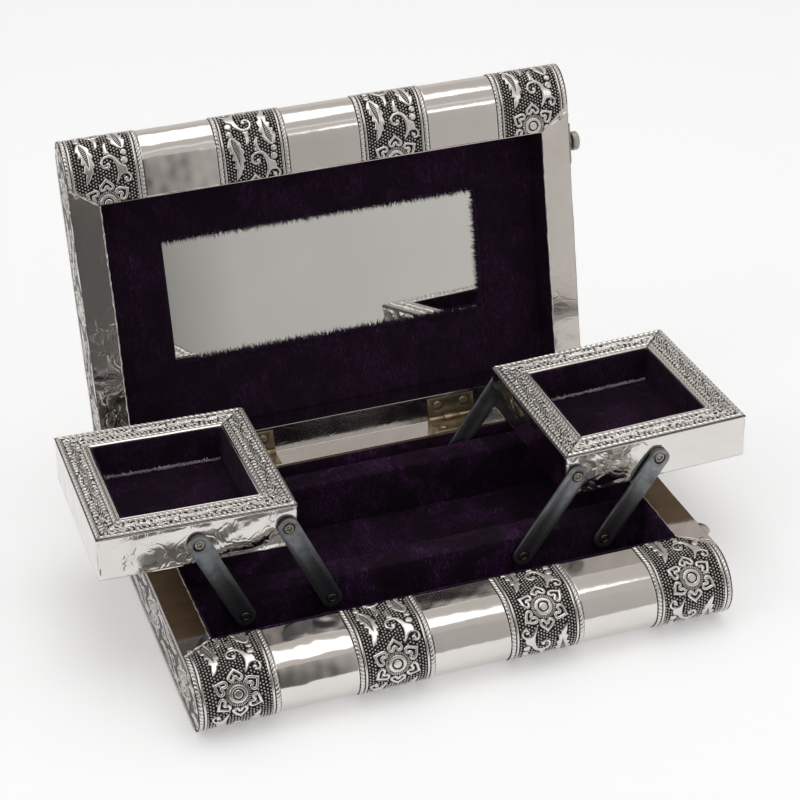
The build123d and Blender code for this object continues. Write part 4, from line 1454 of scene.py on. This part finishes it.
def make_case_walls():
    """Plush on the front and side walls of the case, rolled over at its top edge."""
    radius, thick, puff, roll, roll_over = 2.0, 0.85, 0.95, 0.7, 1.6
    below, under_top, shortest = 0.6, 0.1, 0.05
    front, back = cad_mm("base_wall_linings", 0, "y"), cad_mm("base_wall_linings", 1, "y")
    top = cad_mm("base_wall_linings", 1, "z")
    x = INNER_HALF
    turns = np.linspace(0, pi / 2, 6)
    corner = [(radius - radius * sin(a), radius - radius * cos(a)) for a in turns]
    path = [(-x, y) for y in np.linspace(back, front + radius, 70)]
    path += [(-x + cx, front + cy) for cy, cx in corner]
    path += [(px, front) for px in np.linspace(-x + radius, x - radius, 140)]
    path += [(x - cx, front + cy) for cx, cy in corner]
    path += [(x, y) for y in np.linspace(front + radius, back, 70)]
    path = np.array(path)
    path = path[np.concatenate(((True,), np.linalg.norm(np.diff(path, axis=0), axis=1) > shortest))]
    way, inward = way_along(path), outwards(path)
    heights = np.linspace(FLOOR_TOP - below, top - under_top, 26)
    place, z = grid(np.arange(len(path)), heights)
    rise = puff - roll * step(top - roll_over, top, z)
    rise = rise + lumps(way[place], z, ((0.12, 19, 31), (0.06, 6, 32)))
    flat = path[place] + inward[place] * rise[..., None]
    piece = plush_grid("case_wall_plush", np.concatenate((flat, z[..., None]), -1) * MM, "base")
    cut = (way[-1], top - FLOOR_TOP)
    cloth(piece, thick, "base", "base_side_walls", cut, "base_wall_linings")


def make_back_wall_plush():
    """Thin plush on the back wall of the case, behind the back divider."""
    level, side_gap, below, under_top = HINGE[1] + OPENING_BACK - 0.48, 1.0, 0.3, 0.9
    x = np.linspace(-INNER_HALF + side_gap, INNER_HALF - side_gap, 120)
    z = np.linspace(FLOOR_TOP - below, BASE_HEIGHT - under_top, 24)
    a, b = grid(x, z)
    y = level + lumps(a, b, ((0.05, 14, 36),))
    piece = plush_grid("back_wall_plush", np.stack((a, y, b), -1) * MM, "base")
    cloth(piece, 0.42, "base", "base_back_wall", (x[-1] - x[0], z[-1] - z[0]))


def divider_profile(y0, y1, top):
    """Y and Z of a divider's cover: up one face, over a rounded top and down the other."""
    radius, foot = 2.6, FLOOR_TOP - 0.3
    turns = np.linspace(0, pi / 2, 7)[1:]
    profile = [(y0, z) for z in np.linspace(foot, top - radius, 16)]
    profile += [(y0 + radius * (1 - cos(a)), top - radius * (1 - sin(a))) for a in turns]
    profile += [(y, top) for y in np.linspace(y0 + radius, y1 - radius, 9)[1:]]
    profile += [(y1 - radius * (1 - sin(a)), top - radius * (1 - cos(a))) for a in turns]
    profile += [(y1, z) for z in np.linspace(top - radius, foot, 16)[1:]]
    return np.array(profile)


def make_divider_plush(name):
    """Plush wrapped over a divider, with fuzz along both of its top edges."""
    sink, fuzz_inset, fuzz_drop, fuzz_share = 0.12, 0.7, 0.95, 0.45
    node = f"{name}_divider_velvet"
    x1, top = cad_mm(node, 1, "x"), cad_mm(node, 1, "z")
    y0, y1 = cad_mm(node, 0, "y"), cad_mm(node, 1, "y")
    profile = divider_profile(y0, y1, top)
    way, out = way_along(profile), outwards(profile)
    place, a = grid(np.arange(len(profile)), np.linspace(-x1, x1, 160))
    rise = lumps(a, way[place], ((0.14, 21, 50), (0.07, 6, 51))) - sink
    flat = profile[place] + out[place] * rise[..., None]
    piece = plush_grid(f"{name}_divider_plush", np.concatenate((a[..., None], flat), -1) * MM, "base")
    cloth(piece, 0.9, "base", f"{name}_divider", (2 * x1, way[-1]), node)
    seed = 3 if name == "front" else 4
    for k, (y, out_y) in enumerate(((y0 + fuzz_inset, -0.9), (y1 - fuzz_inset, 0.9))):
        edge = np.array([(px, y, top - fuzz_drop) for px in np.linspace(-x1 + 1, x1 - 1, 60)]) * MM
        fringe(
            f"{name}_divider_pile_{k + 1}", edge, (0, out_y, 0.5), 0.16, "base", fuzz_share,
            seed=seed + 2 * k,
        )


def make_tray_walls(hand, low, high, floor, thick):
    """Plush round a tray's walls, with its pile to the inside."""
    radius, below, under_top, sink = 2.2, 0.3, 0.05, 0.05
    origin, axes = tray_place(hand)
    ring, out = rounded_loop(low[:2] + thick, high[:2] - thick, radius, 34)
    way = way_along(ring)
    heights = np.linspace(floor - below, high[2] - under_top, 18)
    place, z = np.meshgrid(np.arange(len(ring)), heights, indexing="xy")
    puff = lumps(way[place], z, ((0.10, 14, 81),), SIDES[hand]) - sink
    flat = ring[place] - out[place] * puff[..., None]
    walls = to_world(np.concatenate((flat, z[..., None]), -1), origin, axes).reshape(-1, 3)
    piece = new_mesh_object(f"{hand}_tray_wall_plush", walls, loop_faces(*z.shape), "plush")
    with editing(piece.data) as work:
        centre = sum((v.co for v in work.verts), Vector()) / len(work.verts)
        if sum(f.normal.dot(centre - f.calc_center_median()) for f in work.faces) < 0:
            bmesh.ops.reverse_faces(work, faces=work.faces)
    cut = (way[-1], high[2] - floor)
    cloth(piece, 0.7, f"{hand}_tray", f"{hand}_tray_walls", cut, f"{hand}_tray_lining")


def make_tray_floor(hand, low, high, floor):
    """Plush on a tray's floor."""
    side_gap = 0.4
    x = np.linspace(low[0] + side_gap, high[0] - side_gap, 60)
    y = np.linspace(low[1] + side_gap, high[1] - side_gap, 60)
    a, b = grid(x, y)
    rise = floor + lumps(a, b, ((0.12, 18, 85),), SIDES[hand]) + lumps(a, b, ((0.05, 6, 86),))
    points = to_world(np.stack((a, b, rise), -1), *tray_place(hand))
    piece = plush_grid(f"{hand}_tray_floor_plush", points, f"{hand}_tray")
    cut = (x[-1] - x[0], y[-1] - y[0])
    cloth(piece, 0.7, f"{hand}_tray", f"{hand}_tray_floor", cut, f"{hand}_tray_lining")


def make_tray_lining(hand):
    """Plush on a tray's floor and walls, and the pale cut edge where they meet."""
    thick, end_gap, lean = 0.9, 1.2, (0.35, -0.8, 0.45)
    low, high = tray_extents(hand, "lining")
    floor = low[2] + thick
    make_tray_walls(hand, low, high, floor, thick)
    make_tray_floor(hand, low, high, floor)
    xs = np.linspace(low[0] + end_gap, high[0] - end_gap, 50)
    for row, (inset, rise) in enumerate(((0.5, 0.35), (0.9, 0.55), (0.6, 0.95))):
        seam = [(x, high[1] - thick - inset, floor + rise) for x in xs]
        fringe(
            f"{hand}_tray_seam_{row + 1}", to_world(seam, *tray_place(hand)), lean, 0.26,
            f"{hand}_tray", 0.62, "seam_thread", 0.9, seed=9 + row, thick=0.32,
        )


def outside_of(values, low, high):
    """How far values lie outside a range."""
    return np.maximum(np.abs(values - (low + high) / 2) - (high - low) / 2, 0)


def lid_panel_extents():
    """Low and high corners of the lid's panel and of its window, in the lid's rim frame."""
    inset = 5
    local = (cad_points("lid_velvet_panel") - HINGE) @ rim_of("lid").T
    low, high = local.min(0), local.max(0)
    inner = np.abs(local[:, 0]) < INNER_HALF - inset
    inner &= (local[:, 1] > low[1] + inset) & (local[:, 1] < high[1] - inset)
    return low, high, local[inner].min(0), local[inner].max(0)


def split_run(low, window_low, window_high, high, counts):
    """Coordinates across the lid's panel that fall on both edges of the window."""
    return np.concatenate((
        np.linspace(low, window_low, counts[0])[:-1], np.linspace(window_low, window_high, counts[1]),
        np.linspace(window_high, high, counts[2])[1:],
    ))


def make_lid_plush():
    """Plush panel of the lid, with a window for the mirror."""
    axes = rim_of("lid")
    low, high, window_low, window_high = lid_panel_extents()
    x = split_run(low[0], window_low[0], window_high[0], high[0], (24, 110, 24))
    y = split_run(low[1], window_low[1], window_high[1], high[1], (20, 42, 28))
    a, b = grid(x, y)
    near = outside_of(a, window_low[0], window_high[0]) + outside_of(b, window_low[1], window_high[1])
    depth = low[2] + 0.1 + 0.8 * step(2.5, 0.0, near) + lumps(a, b, ((0.25, 30, 71), (0.08, 9, 72)))
    sheet = to_world(np.stack((a, b, depth), -1), HINGE, axes)
    cell_x, cell_y = (x[:-1] + x[1:]) / 2, (y[:-1] + y[1:]) / 2
    hole = np.logical_and.outer(
        (cell_x > window_low[0]) & (cell_x < window_high[0]),
        (cell_y > window_low[1]) & (cell_y < window_high[1]),
    )
    panel = plush_grid("lid_plush", sheet, "lid", ~hole)
    if panel.data.polygons[0].normal.dot(Vector(axes[2])) > 0:
        panel.data.flip_normals()
    full, window = high - low, window_high - window_low
    area = full[0] * full[1] - window[0] * window[1]
    cloth(panel, 1.0, "lid", "lid_board", (full[0], full[1]), "lid_velvet_panel", area=area)


def make_window_pile():
    """Two shaggy rows of pile along three edges of the mirror's window."""
    overhang, lean_down = 0.4, -0.35
    axes = rim_of("lid")
    low, _, (x0, y0, _), (x1, y1, _) = lid_panel_extents()
    deep = low[2] + 1.0
    corners = np.array([(x0, y0), (x1, y0), (x1, y1), (x0, y1)])
    for k, (start, end) in enumerate(zip(corners, corners[1:])):
        run = (end - start) / np.linalg.norm(end - start)
        inward = np.array((-run[1], run[0]))
        line = [
            np.append(start + (end - start) * share - inward * overhang, deep)
            for share in np.linspace(0, 1, 60)
        ]
        lean = np.array((inward[0], inward[1], lean_down)) @ axes
        for layer, share in enumerate((1.25, 1.9)):
            fringe(
                f"mirror_window_pile_{k + 1}_{layer + 1}", to_world(line, HINGE, axes), lean, 0.165, "lid",
                share, "pile_tips", 0.6, seed=20 + 2 * k + layer, thick=0.27,
            )


# ---- Hardware ----
TOUCHING = 0.002 * MM       # corners of the CAD's meshes closer than this are one corner


def joint_place(hand, joint):
    """The place of one of a side's joints, in millimetres."""
    return np.array(JOINTS[f"{hand}_{joint}"]["pos_m"]) / MM


def softened(node, bevel, material, slot, body):
    """A copy of a CAD node with its sharp edges rounded."""
    mesh = frame["nodes"][node].data.copy()
    mesh.name = f"{node}_dressed"
    with editing(mesh) as work:
        bmesh.ops.remove_doubles(work, verts=work.verts, dist=TOUCHING)
        bmesh.ops.dissolve_limit(work, angle_limit=radians(1.0), verts=work.verts, edges=work.edges)
    mesh.materials.clear()
    mesh.materials.append(finish(material))
    piece = linked_object(f"{node}_dressed", mesh)
    settle(piece, rounded_edges(bevel, 35))
    shade_by_angle(piece, 40)
    dress(piece, body, slot, node)


def link_swing(hand):
    """Direction of a side's links at rest, and their length, from its joints."""
    run = joint_place(hand, "tray_level") - joint_place(hand, "tray_swing")
    return atan2(run[2], run[0]), hypot(run[0], run[2])


def make_links():
    """Four pairs of flat steel links."""
    outer_extra, soft_edge = 0.65, 0.22
    size = sizes()
    for hand in SIDES:
        turn, reach = link_swing(hand)
        for kind, joint in (("inner", "tray_swing"), ("outer", "outer_swing")):
            node = f"{hand}_{kind}_links"
            pivot = np.array(JOINTS[f"{hand}_{joint}"]["pos_m"])
            low, high = cad_mm(node, 0, "y"), cad_mm(node, 1, "y")
            spots = [(pivot[0], y * MM, pivot[2]) for y in (low + size["link_thick"], high)]
            extra = outer_extra if kind == "outer" else 0.0
            piece = grown(
                f"{hand}_{kind}_link_plates", "Links", spots, "link_steel",
                Length=(reach + extra) * MM, Width=size["link_width"] * MM,
                Thickness=size["link_thick"] * MM, Hole=size["link_hole"] * MM, Swing=-turn,
            )
            settle(piece, rounded_edges(soft_edge, 50))
            shade_by_angle(piece, 40)
            dress(piece, f"{hand}_{kind}_link_pair", "zinc_steel", node)


def make_rivets():
    """Tubular rivets: eight in the dividers, four in each tray."""
    front, back = cad_mm("front_divider_velvet", 0, "y"), cad_mm("back_divider_velvet", 1, "y")
    spots, axes = [], []
    for hand in SIDES:
        for joint in ("tray_swing", "outer_swing"):
            pivot = joint_place(hand, joint)
            for y, out in ((front, -1), (back, 1)):
                spots.append((pivot[0], y, pivot[2]))
                axes.append((0, out, 0))
    # The divider rivets, low in the case, take the darker rivet steel as painted shade.
    piece = grown("divider_rivets", "Rivets", np.array(spots) * MM, "dark_steel", {"axis": axes})
    dress(piece, "base", "antique_brass", "base_pivot_rivets")
    for hand, side in SIDES.items():
        spacing = abs(joint_place(hand, "outer_swing")[0] - joint_place(hand, "tray_swing")[0])
        local = [(x, y, 0.0) for x in (0.0, side * spacing) for y in (front, back)]
        places = to_world(local, *tray_place(hand))
        out = [(0, -1, 0), (0, 1, 0)] * 2
        piece = grown(f"{hand}_tray_rivet_heads", "Rivets", places, "dull_steel", {"axis": out})
        dress(piece, f"{hand}_tray", "antique_brass", f"{hand}_tray_rivets")


def connected(start):
    """A corner of a bmesh and all that edges join to it."""
    group, stack = {start}, [start]
    while stack:
        here = stack.pop()
        fresh = {edge.other_vert(here) for edge in here.link_edges} - group
        group |= fresh
        stack.extend(fresh)
    return group


def solid_centres(node):
    """Middles of the separate solids of a CAD node, in millimetres."""
    work = bmesh.new()
    work.from_mesh(frame["nodes"][node].data)
    bmesh.ops.remove_doubles(work, verts=work.verts, dist=TOUCHING)
    seen, centres = set(), []
    for vert in work.verts:
        if vert not in seen:
            group = connected(vert)
            seen |= group
            corners = np.array([v.co[:] for v in group])
            centres.append((corners.min(0) + corners.max(0)) / 2)
    work.free()
    return np.array(centres) / MM


def make_lug():
    """The rounded tongue at the front corner of the case, which the latch's hook goes over."""
    reach, half_width, half_height, below_rim, sunk = 4.1, 5.4, 1.9, 0.6, 0.5
    squareness, rounded_share = 4, 0.25
    low, high = (np.array(corner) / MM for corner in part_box("latch_stud"))
    turn, rise = grid(np.linspace(-pi / 2, pi / 2, 33), np.linspace(-1, 1, 17))
    edge = (1 - np.abs(rise) ** squareness) ** (1 / squareness)
    share = np.where(np.abs(rise) < 1, edge * rounded_share + 1 - rounded_share, 0.0)
    x = HALF_LENGTH - sunk + reach * np.cos(turn) * share
    y = (low[1] + high[1]) / 2 + half_width * np.sin(turn) * share
    z = BASE_HEIGHT - below_rim - half_height + half_height * rise
    points = np.stack((x, y, z), -1) * MM
    piece = new_mesh_object("latch_lug", points.reshape(-1, 3), open_grid(points), "polished_foil")
    settle(piece, ("WELD", {"merge_threshold": 0.01 * MM}))
    with editing(piece.data) as work:
        bmesh.ops.holes_fill(work, edges=work.edges, sides=0)
        bmesh.ops.recalc_face_normals(work, faces=work.faces)
    shade_by_angle(piece, 50)
    dress(piece, "base", "zinc_steel", "latch_stud")


def rolled_edge(name, path, radius, half, out, seed):
    """A thin uneven rolled edge of foil along a path of millimetre points in a half's rim frame."""
    spacing, sway, thinning, end_radius, sides = 0.9, 0.16, 0.35, 0.05, 8
    path = np.asarray(path, float)
    way = way_along(path)
    at = np.linspace(0, way[-1], max(6, int(way[-1] / spacing)))
    line = read_along(way, path, at)
    run = np.gradient(line, axis=0)
    run /= np.linalg.norm(run, axis=1)[:, None]
    out = np.broadcast_to(out, line.shape)
    side = np.cross(run, out)
    line = line + side * (sway * waves(at, at * 0, 7, seed))[:, None]
    size = radius * (1 + thinning * waves(at, at * 0, 4, seed + 1))
    size[0] = size[-1] = end_radius
    turn = np.linspace(0, 2 * pi, sides + 1)[:-1, None]
    round_it = np.cos(turn) * side[:, None] + np.sin(turn) * out[:, None]
    ring = line[:, None] + size[:, None, None] * round_it
    world = to_world(ring, HINGE, rim_of(half)).reshape(-1, 3)
    faces = loop_faces(*ring.shape[:2])
    faces += [tuple(range(sides - 1, -1, -1)), tuple(range(len(world) - sides, len(world)))]
    piece = new_mesh_object(name, world, faces, "polished_foil")
    dress(piece, half, "foil")


def make_rolled_edges():
    """Foil edges turned over along the openings and round the mitred front corners."""
    for half, out in (("base", 1.0), ("lid", -1.0)):
        level = out * -0.05
        for name, side in (("left", -1), ("right", 1)):
            x = side * (INNER_HALF - 0.15)
            inner = [(x, OPENING_FRONT + 0.5, level), (x, -3.0, level)]
            rolled_edge(f"{half}_{name}_rim_edge", inner, 0.34, half, (0, 0, out), 140 + side)
            lap = [
                (side * (INNER_HALF + 0.2), OPENING_FRONT + 0.2, level),
                (side * (HALF_LENGTH - 0.3), OPENING_FRONT - CORNER_REACH, level),
            ]
            rolled_edge(f"{half}_{name}_mitre_edge", lap, 0.42, half, (0, 0, out), 150 + side)


def make_round_heads():
    """Brass nails in the rims and slotted screws in the hinges."""
    kinds = (
        ("rim_nails", "bright_steel", "brass", 1.5, 0.42, 0.0),
        ("hinge_screws", "worn_brass", "antique_brass", 2.25, 0.34, 0.45),
    )
    for half, sign in (("base", 1), ("lid", -1)):
        axes = rim_of(half)
        out = axes[2] * sign
        for kind, material, slot, radius, rise, groove in kinds:
            node = f"{half}_{kind}"
            local = (solid_centres(node) - HINGE) @ axes.T
            local[:, 2] = -0.05 * sign
            spots = to_world(local, HINGE, axes)
            piece = grown(
                f"{node}_heads", "Round heads", spots, material,
                {"axis": np.broadcast_to(out, spots.shape)}, Radius=radius * MM, Rise=rise, Slot=groove * MM,
            )
            dress(piece, half, slot, node)


SOFTENED = (
    ("hinge_base_leaves", 0.18, "worn_brass", "antique_brass", "base"),
    ("hinge_lid_leaves", 0.18, "worn_brass", "antique_brass", "lid"),
    ("latch_plate", 0.2, "dull_steel", "zinc_steel", "lid"),
    ("latch_hook", 0.2, "dull_steel", "zinc_steel", "latch"),
    ("latch_knob", 0.9, "bright_steel", "zinc_steel", "latch"),
)

KEPT = {
    "bare_wood": (
        "base_bottom_board", "base_side_walls", "base_back_wall", "base_front_rail", "front_divider",
        "back_divider", "lid_board", "lid_side_walls", "lid_back_wall", "lid_front_rail", "left_tray_floor",
        "left_tray_walls", "right_tray_floor", "right_tray_walls",
    ),
    "polished_foil": ("base_back_foil", "base_rim_foil", "lid_back_foil", "lid_top_foil", "lid_recess_foil"),
    "rim_foil": ("lid_rim_foil",),
    "brown_card": ("mirror_card",),
    "mirror_glass": ("mirror",),
    "worn_brass": ("hinge_pins",),
    "dull_steel": ("latch_pivot",),
}


def give_kept_finishes():
    """Gives their finishes to the pieces whose CAD shape stays."""
    for material, nodes in KEPT.items():
        for node in nodes:
            for slot in frame["nodes"][node].material_slots:
                slot.material = finish(material)


# ---- Studio ----
CAMERA_PLACE = (-0.26798, -0.779, 0.58349)
CAMERA_HEADING = radians(16.1938)
CAMERA_PITCH = radians(30.4627)
CAMERA_ROLL = radians(-2.6318)
CAMERA_LENS = 93.721
CAMERA_SHIFT = (0.10092, 0.01005)

WHITE = (1.0, 1.0, 1.0, 1.0)
CARD_WARMTH = (1.0, 0.955, 0.91)
FLOOR_REACH, FLOOR_DROP, FLOOR_GLOW = 6.0, 0.0002, 0.24
WORLD_LEVEL = 0.6           # light of the world on what is lit by it, against 1 where it is seen

# Each lamp's name, place, target, width and height in metres, and power.
LAMPS = (
    ("top_softbox", (0.1, 0.05, 1.6), (0, 0, 0.05), (1.2, 0.8), 4.2),
    ("front_fill", (0.85, -1.35, 0.95), (0, 0, 0.08), (0.8, 0.5), 2.0),
    ("left_fill", (-1.4, -0.3, 0.9), (0, 0, 0.08), (0.7, 0.9), 2.6),
)

# Each card's name, place, target, width and height in metres, and its brightness at shares of its
# width, from left to right as one looks at its face.
# The cards glow and show only in reflections: painted reflections of a studio, with the front card dark over
# part of its width.
CARDS = (
    ("front_card", (0.0, -0.34, 0.22), (0.0, 0.0, 0.22), (1.8, 0.44),
     [(0.0, 0.75), (0.30, 0.64), (0.345, 0.58), (0.37, 0.54), (0.47, 0.47), (0.497, 0.30), (0.518, 0.09),
      (1.0, 0.08)]),
    ("far_card", (0.3, -1.9, 0.8), (0, 0, 0.1), (4.0, 2.0), [(0.0, 0.75), (0.6, 0.6), (1.0, 0.35)]),
    ("ceiling_card", (0.0, 0.2, 2.0), (0, 0.2, 0.0), (4.0, 3.6), [(0.0, 0.6), (1.0, 0.6)]),
    ("back_card", (0.0, 2.4, 1.2), (0, 0, 0.1), (4.4, 2.6), [(0.0, 0.65), (1.0, 0.75)]),
    ("left_card", (-2.0, 0.3, 0.7), (0, 0, 0.1), (3.4, 1.8), [(0.0, 0.7), (1.0, 0.7)]),
    ("right_card", (2.0, 0.0, 0.7), (0, 0, 0.1), (3.4, 1.8), [(0.0, 0.38), (1.0, 0.38)]),
)


def facing(place, target, axis):
    """The turn that points an axis from a place at a target."""
    return (Vector(target) - Vector(place)).to_track_quat(axis, "Y").to_euler()


def rectangle(name, width, height, material):
    """A flat rectangle round the origin, with its face up."""
    w, h = width / 2, height / 2
    mesh = bpy.data.meshes.new(name)
    mesh.from_pydata([(-w, -h, 0), (w, -h, 0), (w, h, 0), (-w, h, 0)], [], [(0, 1, 2, 3)])
    mesh.materials.append(material)
    return linked_object(name, mesh)


def seen_by_camera(tree):
    """1 for what is seen straight on, in a mirror or through glass, and 0 for what only lights."""
    path = add(tree, "ShaderNodeLightPath").outputs
    seen = plus(tree, path["Is Camera Ray"], path["Is Glossy Ray"], clamp=True)
    return plus(tree, seen, path["Is Transmission Ray"], clamp=True)


def make_camera():
    """The camera, from where the box shows its front, its left end and its open lid."""
    heading, pitch, roll = CAMERA_HEADING, CAMERA_PITCH, CAMERA_ROLL
    look = Vector((sin(heading) * cos(pitch), cos(heading) * cos(pitch), -sin(pitch)))
    level = Vector((cos(heading), -sin(heading), 0.0))
    over = level.cross(look)
    right = level * cos(roll) + over * sin(roll)
    up = right.cross(look)
    data = bpy.data.cameras.new("camera")
    data.lens = CAMERA_LENS
    data.shift_x, data.shift_y = CAMERA_SHIFT
    camera = linked_object("camera", data)
    turn = Matrix((right, up, -look)).transposed().to_4x4()
    camera.matrix_world = Matrix.Translation(CAMERA_PLACE) @ turn
    bpy.context.scene.camera = camera


def make_lamp(name, place, target, size, power):
    """A rectangular lamp that shines at a target."""
    data = bpy.data.lights.new(name, "AREA")
    data.shape = "RECTANGLE"
    data.size, data.size_y = size
    data.energy = power
    lamp = linked_object(name, data)
    lamp.location = place
    lamp.rotation_euler = facing(place, target, "-Z")


def make_card(name, place, target, size, levels):
    """A glowing card that only shows in reflections, graded across its width: a painted reflection that
    lights nothing and casts no shadow.
    """
    material, tree, sockets, place_on_card = new_finish(
        name + "_paint", Roughness=1.0, Emission_Strength=1.0, Base_Color=(0, 0, 0, 1)
    )
    across = add(tree, "ShaderNodeSeparateXYZ", {"Vector": place_on_card}).outputs["X"]
    share = plus(tree, maths(tree, "DIVIDE", across, size[0]), 0.5)
    stops = [(at, tuple(level * warmth for warmth in CARD_WARMTH) + (1.0,)) for at, level in levels]
    tree.links.new(ramp(tree, share, stops), sockets["Emission Color"])
    card = rectangle(name, *size, material)
    card.location = place
    card.rotation_euler = facing(place, target, "Z")
    card.visible_camera = False
    card.visible_diffuse = False
    card.visible_shadow = False


def make_floor():
    """Pale floor that reads white to the eye and in reflections, and keeps the box's shadow."""
    material, tree, sockets, _ = new_finish(
        "studio_floor_paint", Roughness=0.9, Base_Color=paint("floor"), Emission_Color=WHITE
    )
    tree.links.new(times(tree, seen_by_camera(tree), FLOOR_GLOW), sockets["Emission Strength"])
    floor = rectangle("studio_floor", 2 * FLOOR_REACH, 2 * FLOOR_REACH, material)
    floor.location = (0, 0, -FLOOR_DROP)


def make_world():
    """White to the eye and in mirrors, and a soft even light on everything else."""
    world = bpy.data.worlds.new("studio")
    world.use_nodes = True
    bpy.context.scene.world = world
    tree = world.node_tree
    background = tree.nodes["Background"]
    background.inputs["Color"].default_value = WHITE
    strength = add(tree, "ShaderNodeMix", {0: seen_by_camera(tree), 2: WORLD_LEVEL, 3: 1.0}).outputs[0]
    tree.links.new(strength, background.inputs["Strength"])


# ---- Operators ----
class VANITY_OT_finishes(bpy.types.Operator):
    """Build the finishes and give them to the pieces whose CAD shape stays"""
    bl_idname = "vanity.finishes"
    bl_label = "Finishes"
    bl_options = {"REGISTER", "UNDO"}

    def execute(self, context):
        make_effects()
        make_finishes()
        make_trees()
        give_kept_finishes()
        return {"FINISHED"}


class VANITY_OT_bands(bpy.types.Operator):
    """Build the embossed and plain bands round both fronts"""
    bl_idname = "vanity.bands"
    bl_label = "Bands"
    bl_options = {"REGISTER", "UNDO"}

    def execute(self, context):
        for half, phases in ROSETTES.items():
            for index in range(len(phases)):
                make_embossed_band(half, index)
            for index, span in enumerate(spans_of(f"{half}_plain_bands")):
                make_plain_band(half, index, span)
        return {"FINISHED"}


class VANITY_OT_sides(bpy.types.Operator):
    """Build the embossed sheets on the ends of the case and lid"""
    bl_idname = "vanity.sides"
    bl_label = "Side sheets"
    bl_options = {"REGISTER", "UNDO"}

    def execute(self, context):
        for half in ROSETTES:
            for side in SIDES.values():
                make_side_sheet(half, side)
        return {"FINISHED"}


class VANITY_OT_trays(bpy.types.Operator):
    """Build the trays' embossed frames, foil and linings"""
    bl_idname = "vanity.trays"
    bl_label = "Trays"
    bl_options = {"REGISTER", "UNDO"}

    def execute(self, context):
        for hand in SIDES:
            make_tray_frame(hand)
            make_tray_skin(hand)
            make_tray_lining(hand)
        return {"FINISHED"}


class VANITY_OT_plush(bpy.types.Operator):
    """Build the plush of the case, its dividers and the lid"""
    bl_idname = "vanity.plush"
    bl_label = "Plush"
    bl_options = {"REGISTER", "UNDO"}

    def execute(self, context):
        make_case_floor()
        make_case_walls()
        make_back_wall_plush()
        make_divider_plush("front")
        make_divider_plush("back")
        make_lid_plush()
        make_window_pile()
        return {"FINISHED"}


class VANITY_OT_links(bpy.types.Operator):
    """Build the flat links and their rivets"""
    bl_idname = "vanity.links"
    bl_label = "Links and rivets"
    bl_options = {"REGISTER", "UNDO"}

    def execute(self, context):
        make_links()
        make_rivets()
        return {"FINISHED"}


class VANITY_OT_fittings(bpy.types.Operator):
    """Build the hinges, screws, nails, latch and the foil's rolled edges"""
    bl_idname = "vanity.fittings"
    bl_label = "Hinges, nails and latch"
    bl_options = {"REGISTER", "UNDO"}

    def execute(self, context):
        for row in SOFTENED:
            softened(*row)
        make_round_heads()
        make_lug()
        make_rolled_edges()
        return {"FINISHED"}


class VANITY_OT_stage(bpy.types.Operator):
    """Set up the camera, the floor, the world, the lamps and the cards"""
    bl_idname = "vanity.stage"
    bl_label = "Studio"
    bl_options = {"REGISTER", "UNDO"}

    def execute(self, context):
        make_camera()
        make_floor()
        make_world()
        for row in LAMPS:
            make_lamp(*row)
        for row in CARDS:
            make_card(*row)
        context.scene.view_settings.view_transform = "Standard"
        return {"FINISHED"}


OPERATORS = (
    VANITY_OT_finishes, VANITY_OT_bands, VANITY_OT_sides, VANITY_OT_trays, VANITY_OT_plush, VANITY_OT_links,
    VANITY_OT_fittings, VANITY_OT_stage,
)


class VANITY_PT_panel(bpy.types.Panel):
    """Lists the sizes, the colours and the operators"""
    bl_idname = "VANITY_PT_panel"
    bl_label = "Vanity box"
    bl_space_type = "VIEW_3D"
    bl_region_type = "UI"
    bl_category = "Vanity box"

    def draw(self, context):
        scene = context.scene
        for title, group in (("Sizes", scene.vanity_sizes), ("Colours", scene.vanity_colours)):
            column = self.layout.column(heading=title)
            for key in type(group).__annotations__:
                column.prop(group, key)
        for operator in OPERATORS:
            self.layout.operator(operator.bl_idname)


CLASSES = (VanitySizes, VanityColours, *OPERATORS, VANITY_PT_panel)


def register():
    """Registers the classes and the scene's sizes and colours."""
    for item in CLASSES:
        bpy.utils.register_class(item)
    bpy.types.Scene.vanity_sizes = PointerProperty(type=VanitySizes)
    bpy.types.Scene.vanity_colours = PointerProperty(type=VanityColours)


def unregister():
    """Takes the classes and the scene's sizes and colours away again."""
    del bpy.types.Scene.vanity_sizes
    del bpy.types.Scene.vanity_colours
    for item in reversed(CLASSES):
        bpy.utils.unregister_class(item)


def main():
    """Runs every operator in order."""
    register()
    for operator in OPERATORS:
        group, name = operator.bl_idname.split(".")
        getattr(getattr(bpy.ops, group), name)()


if __name__ == "__main__":
    main()
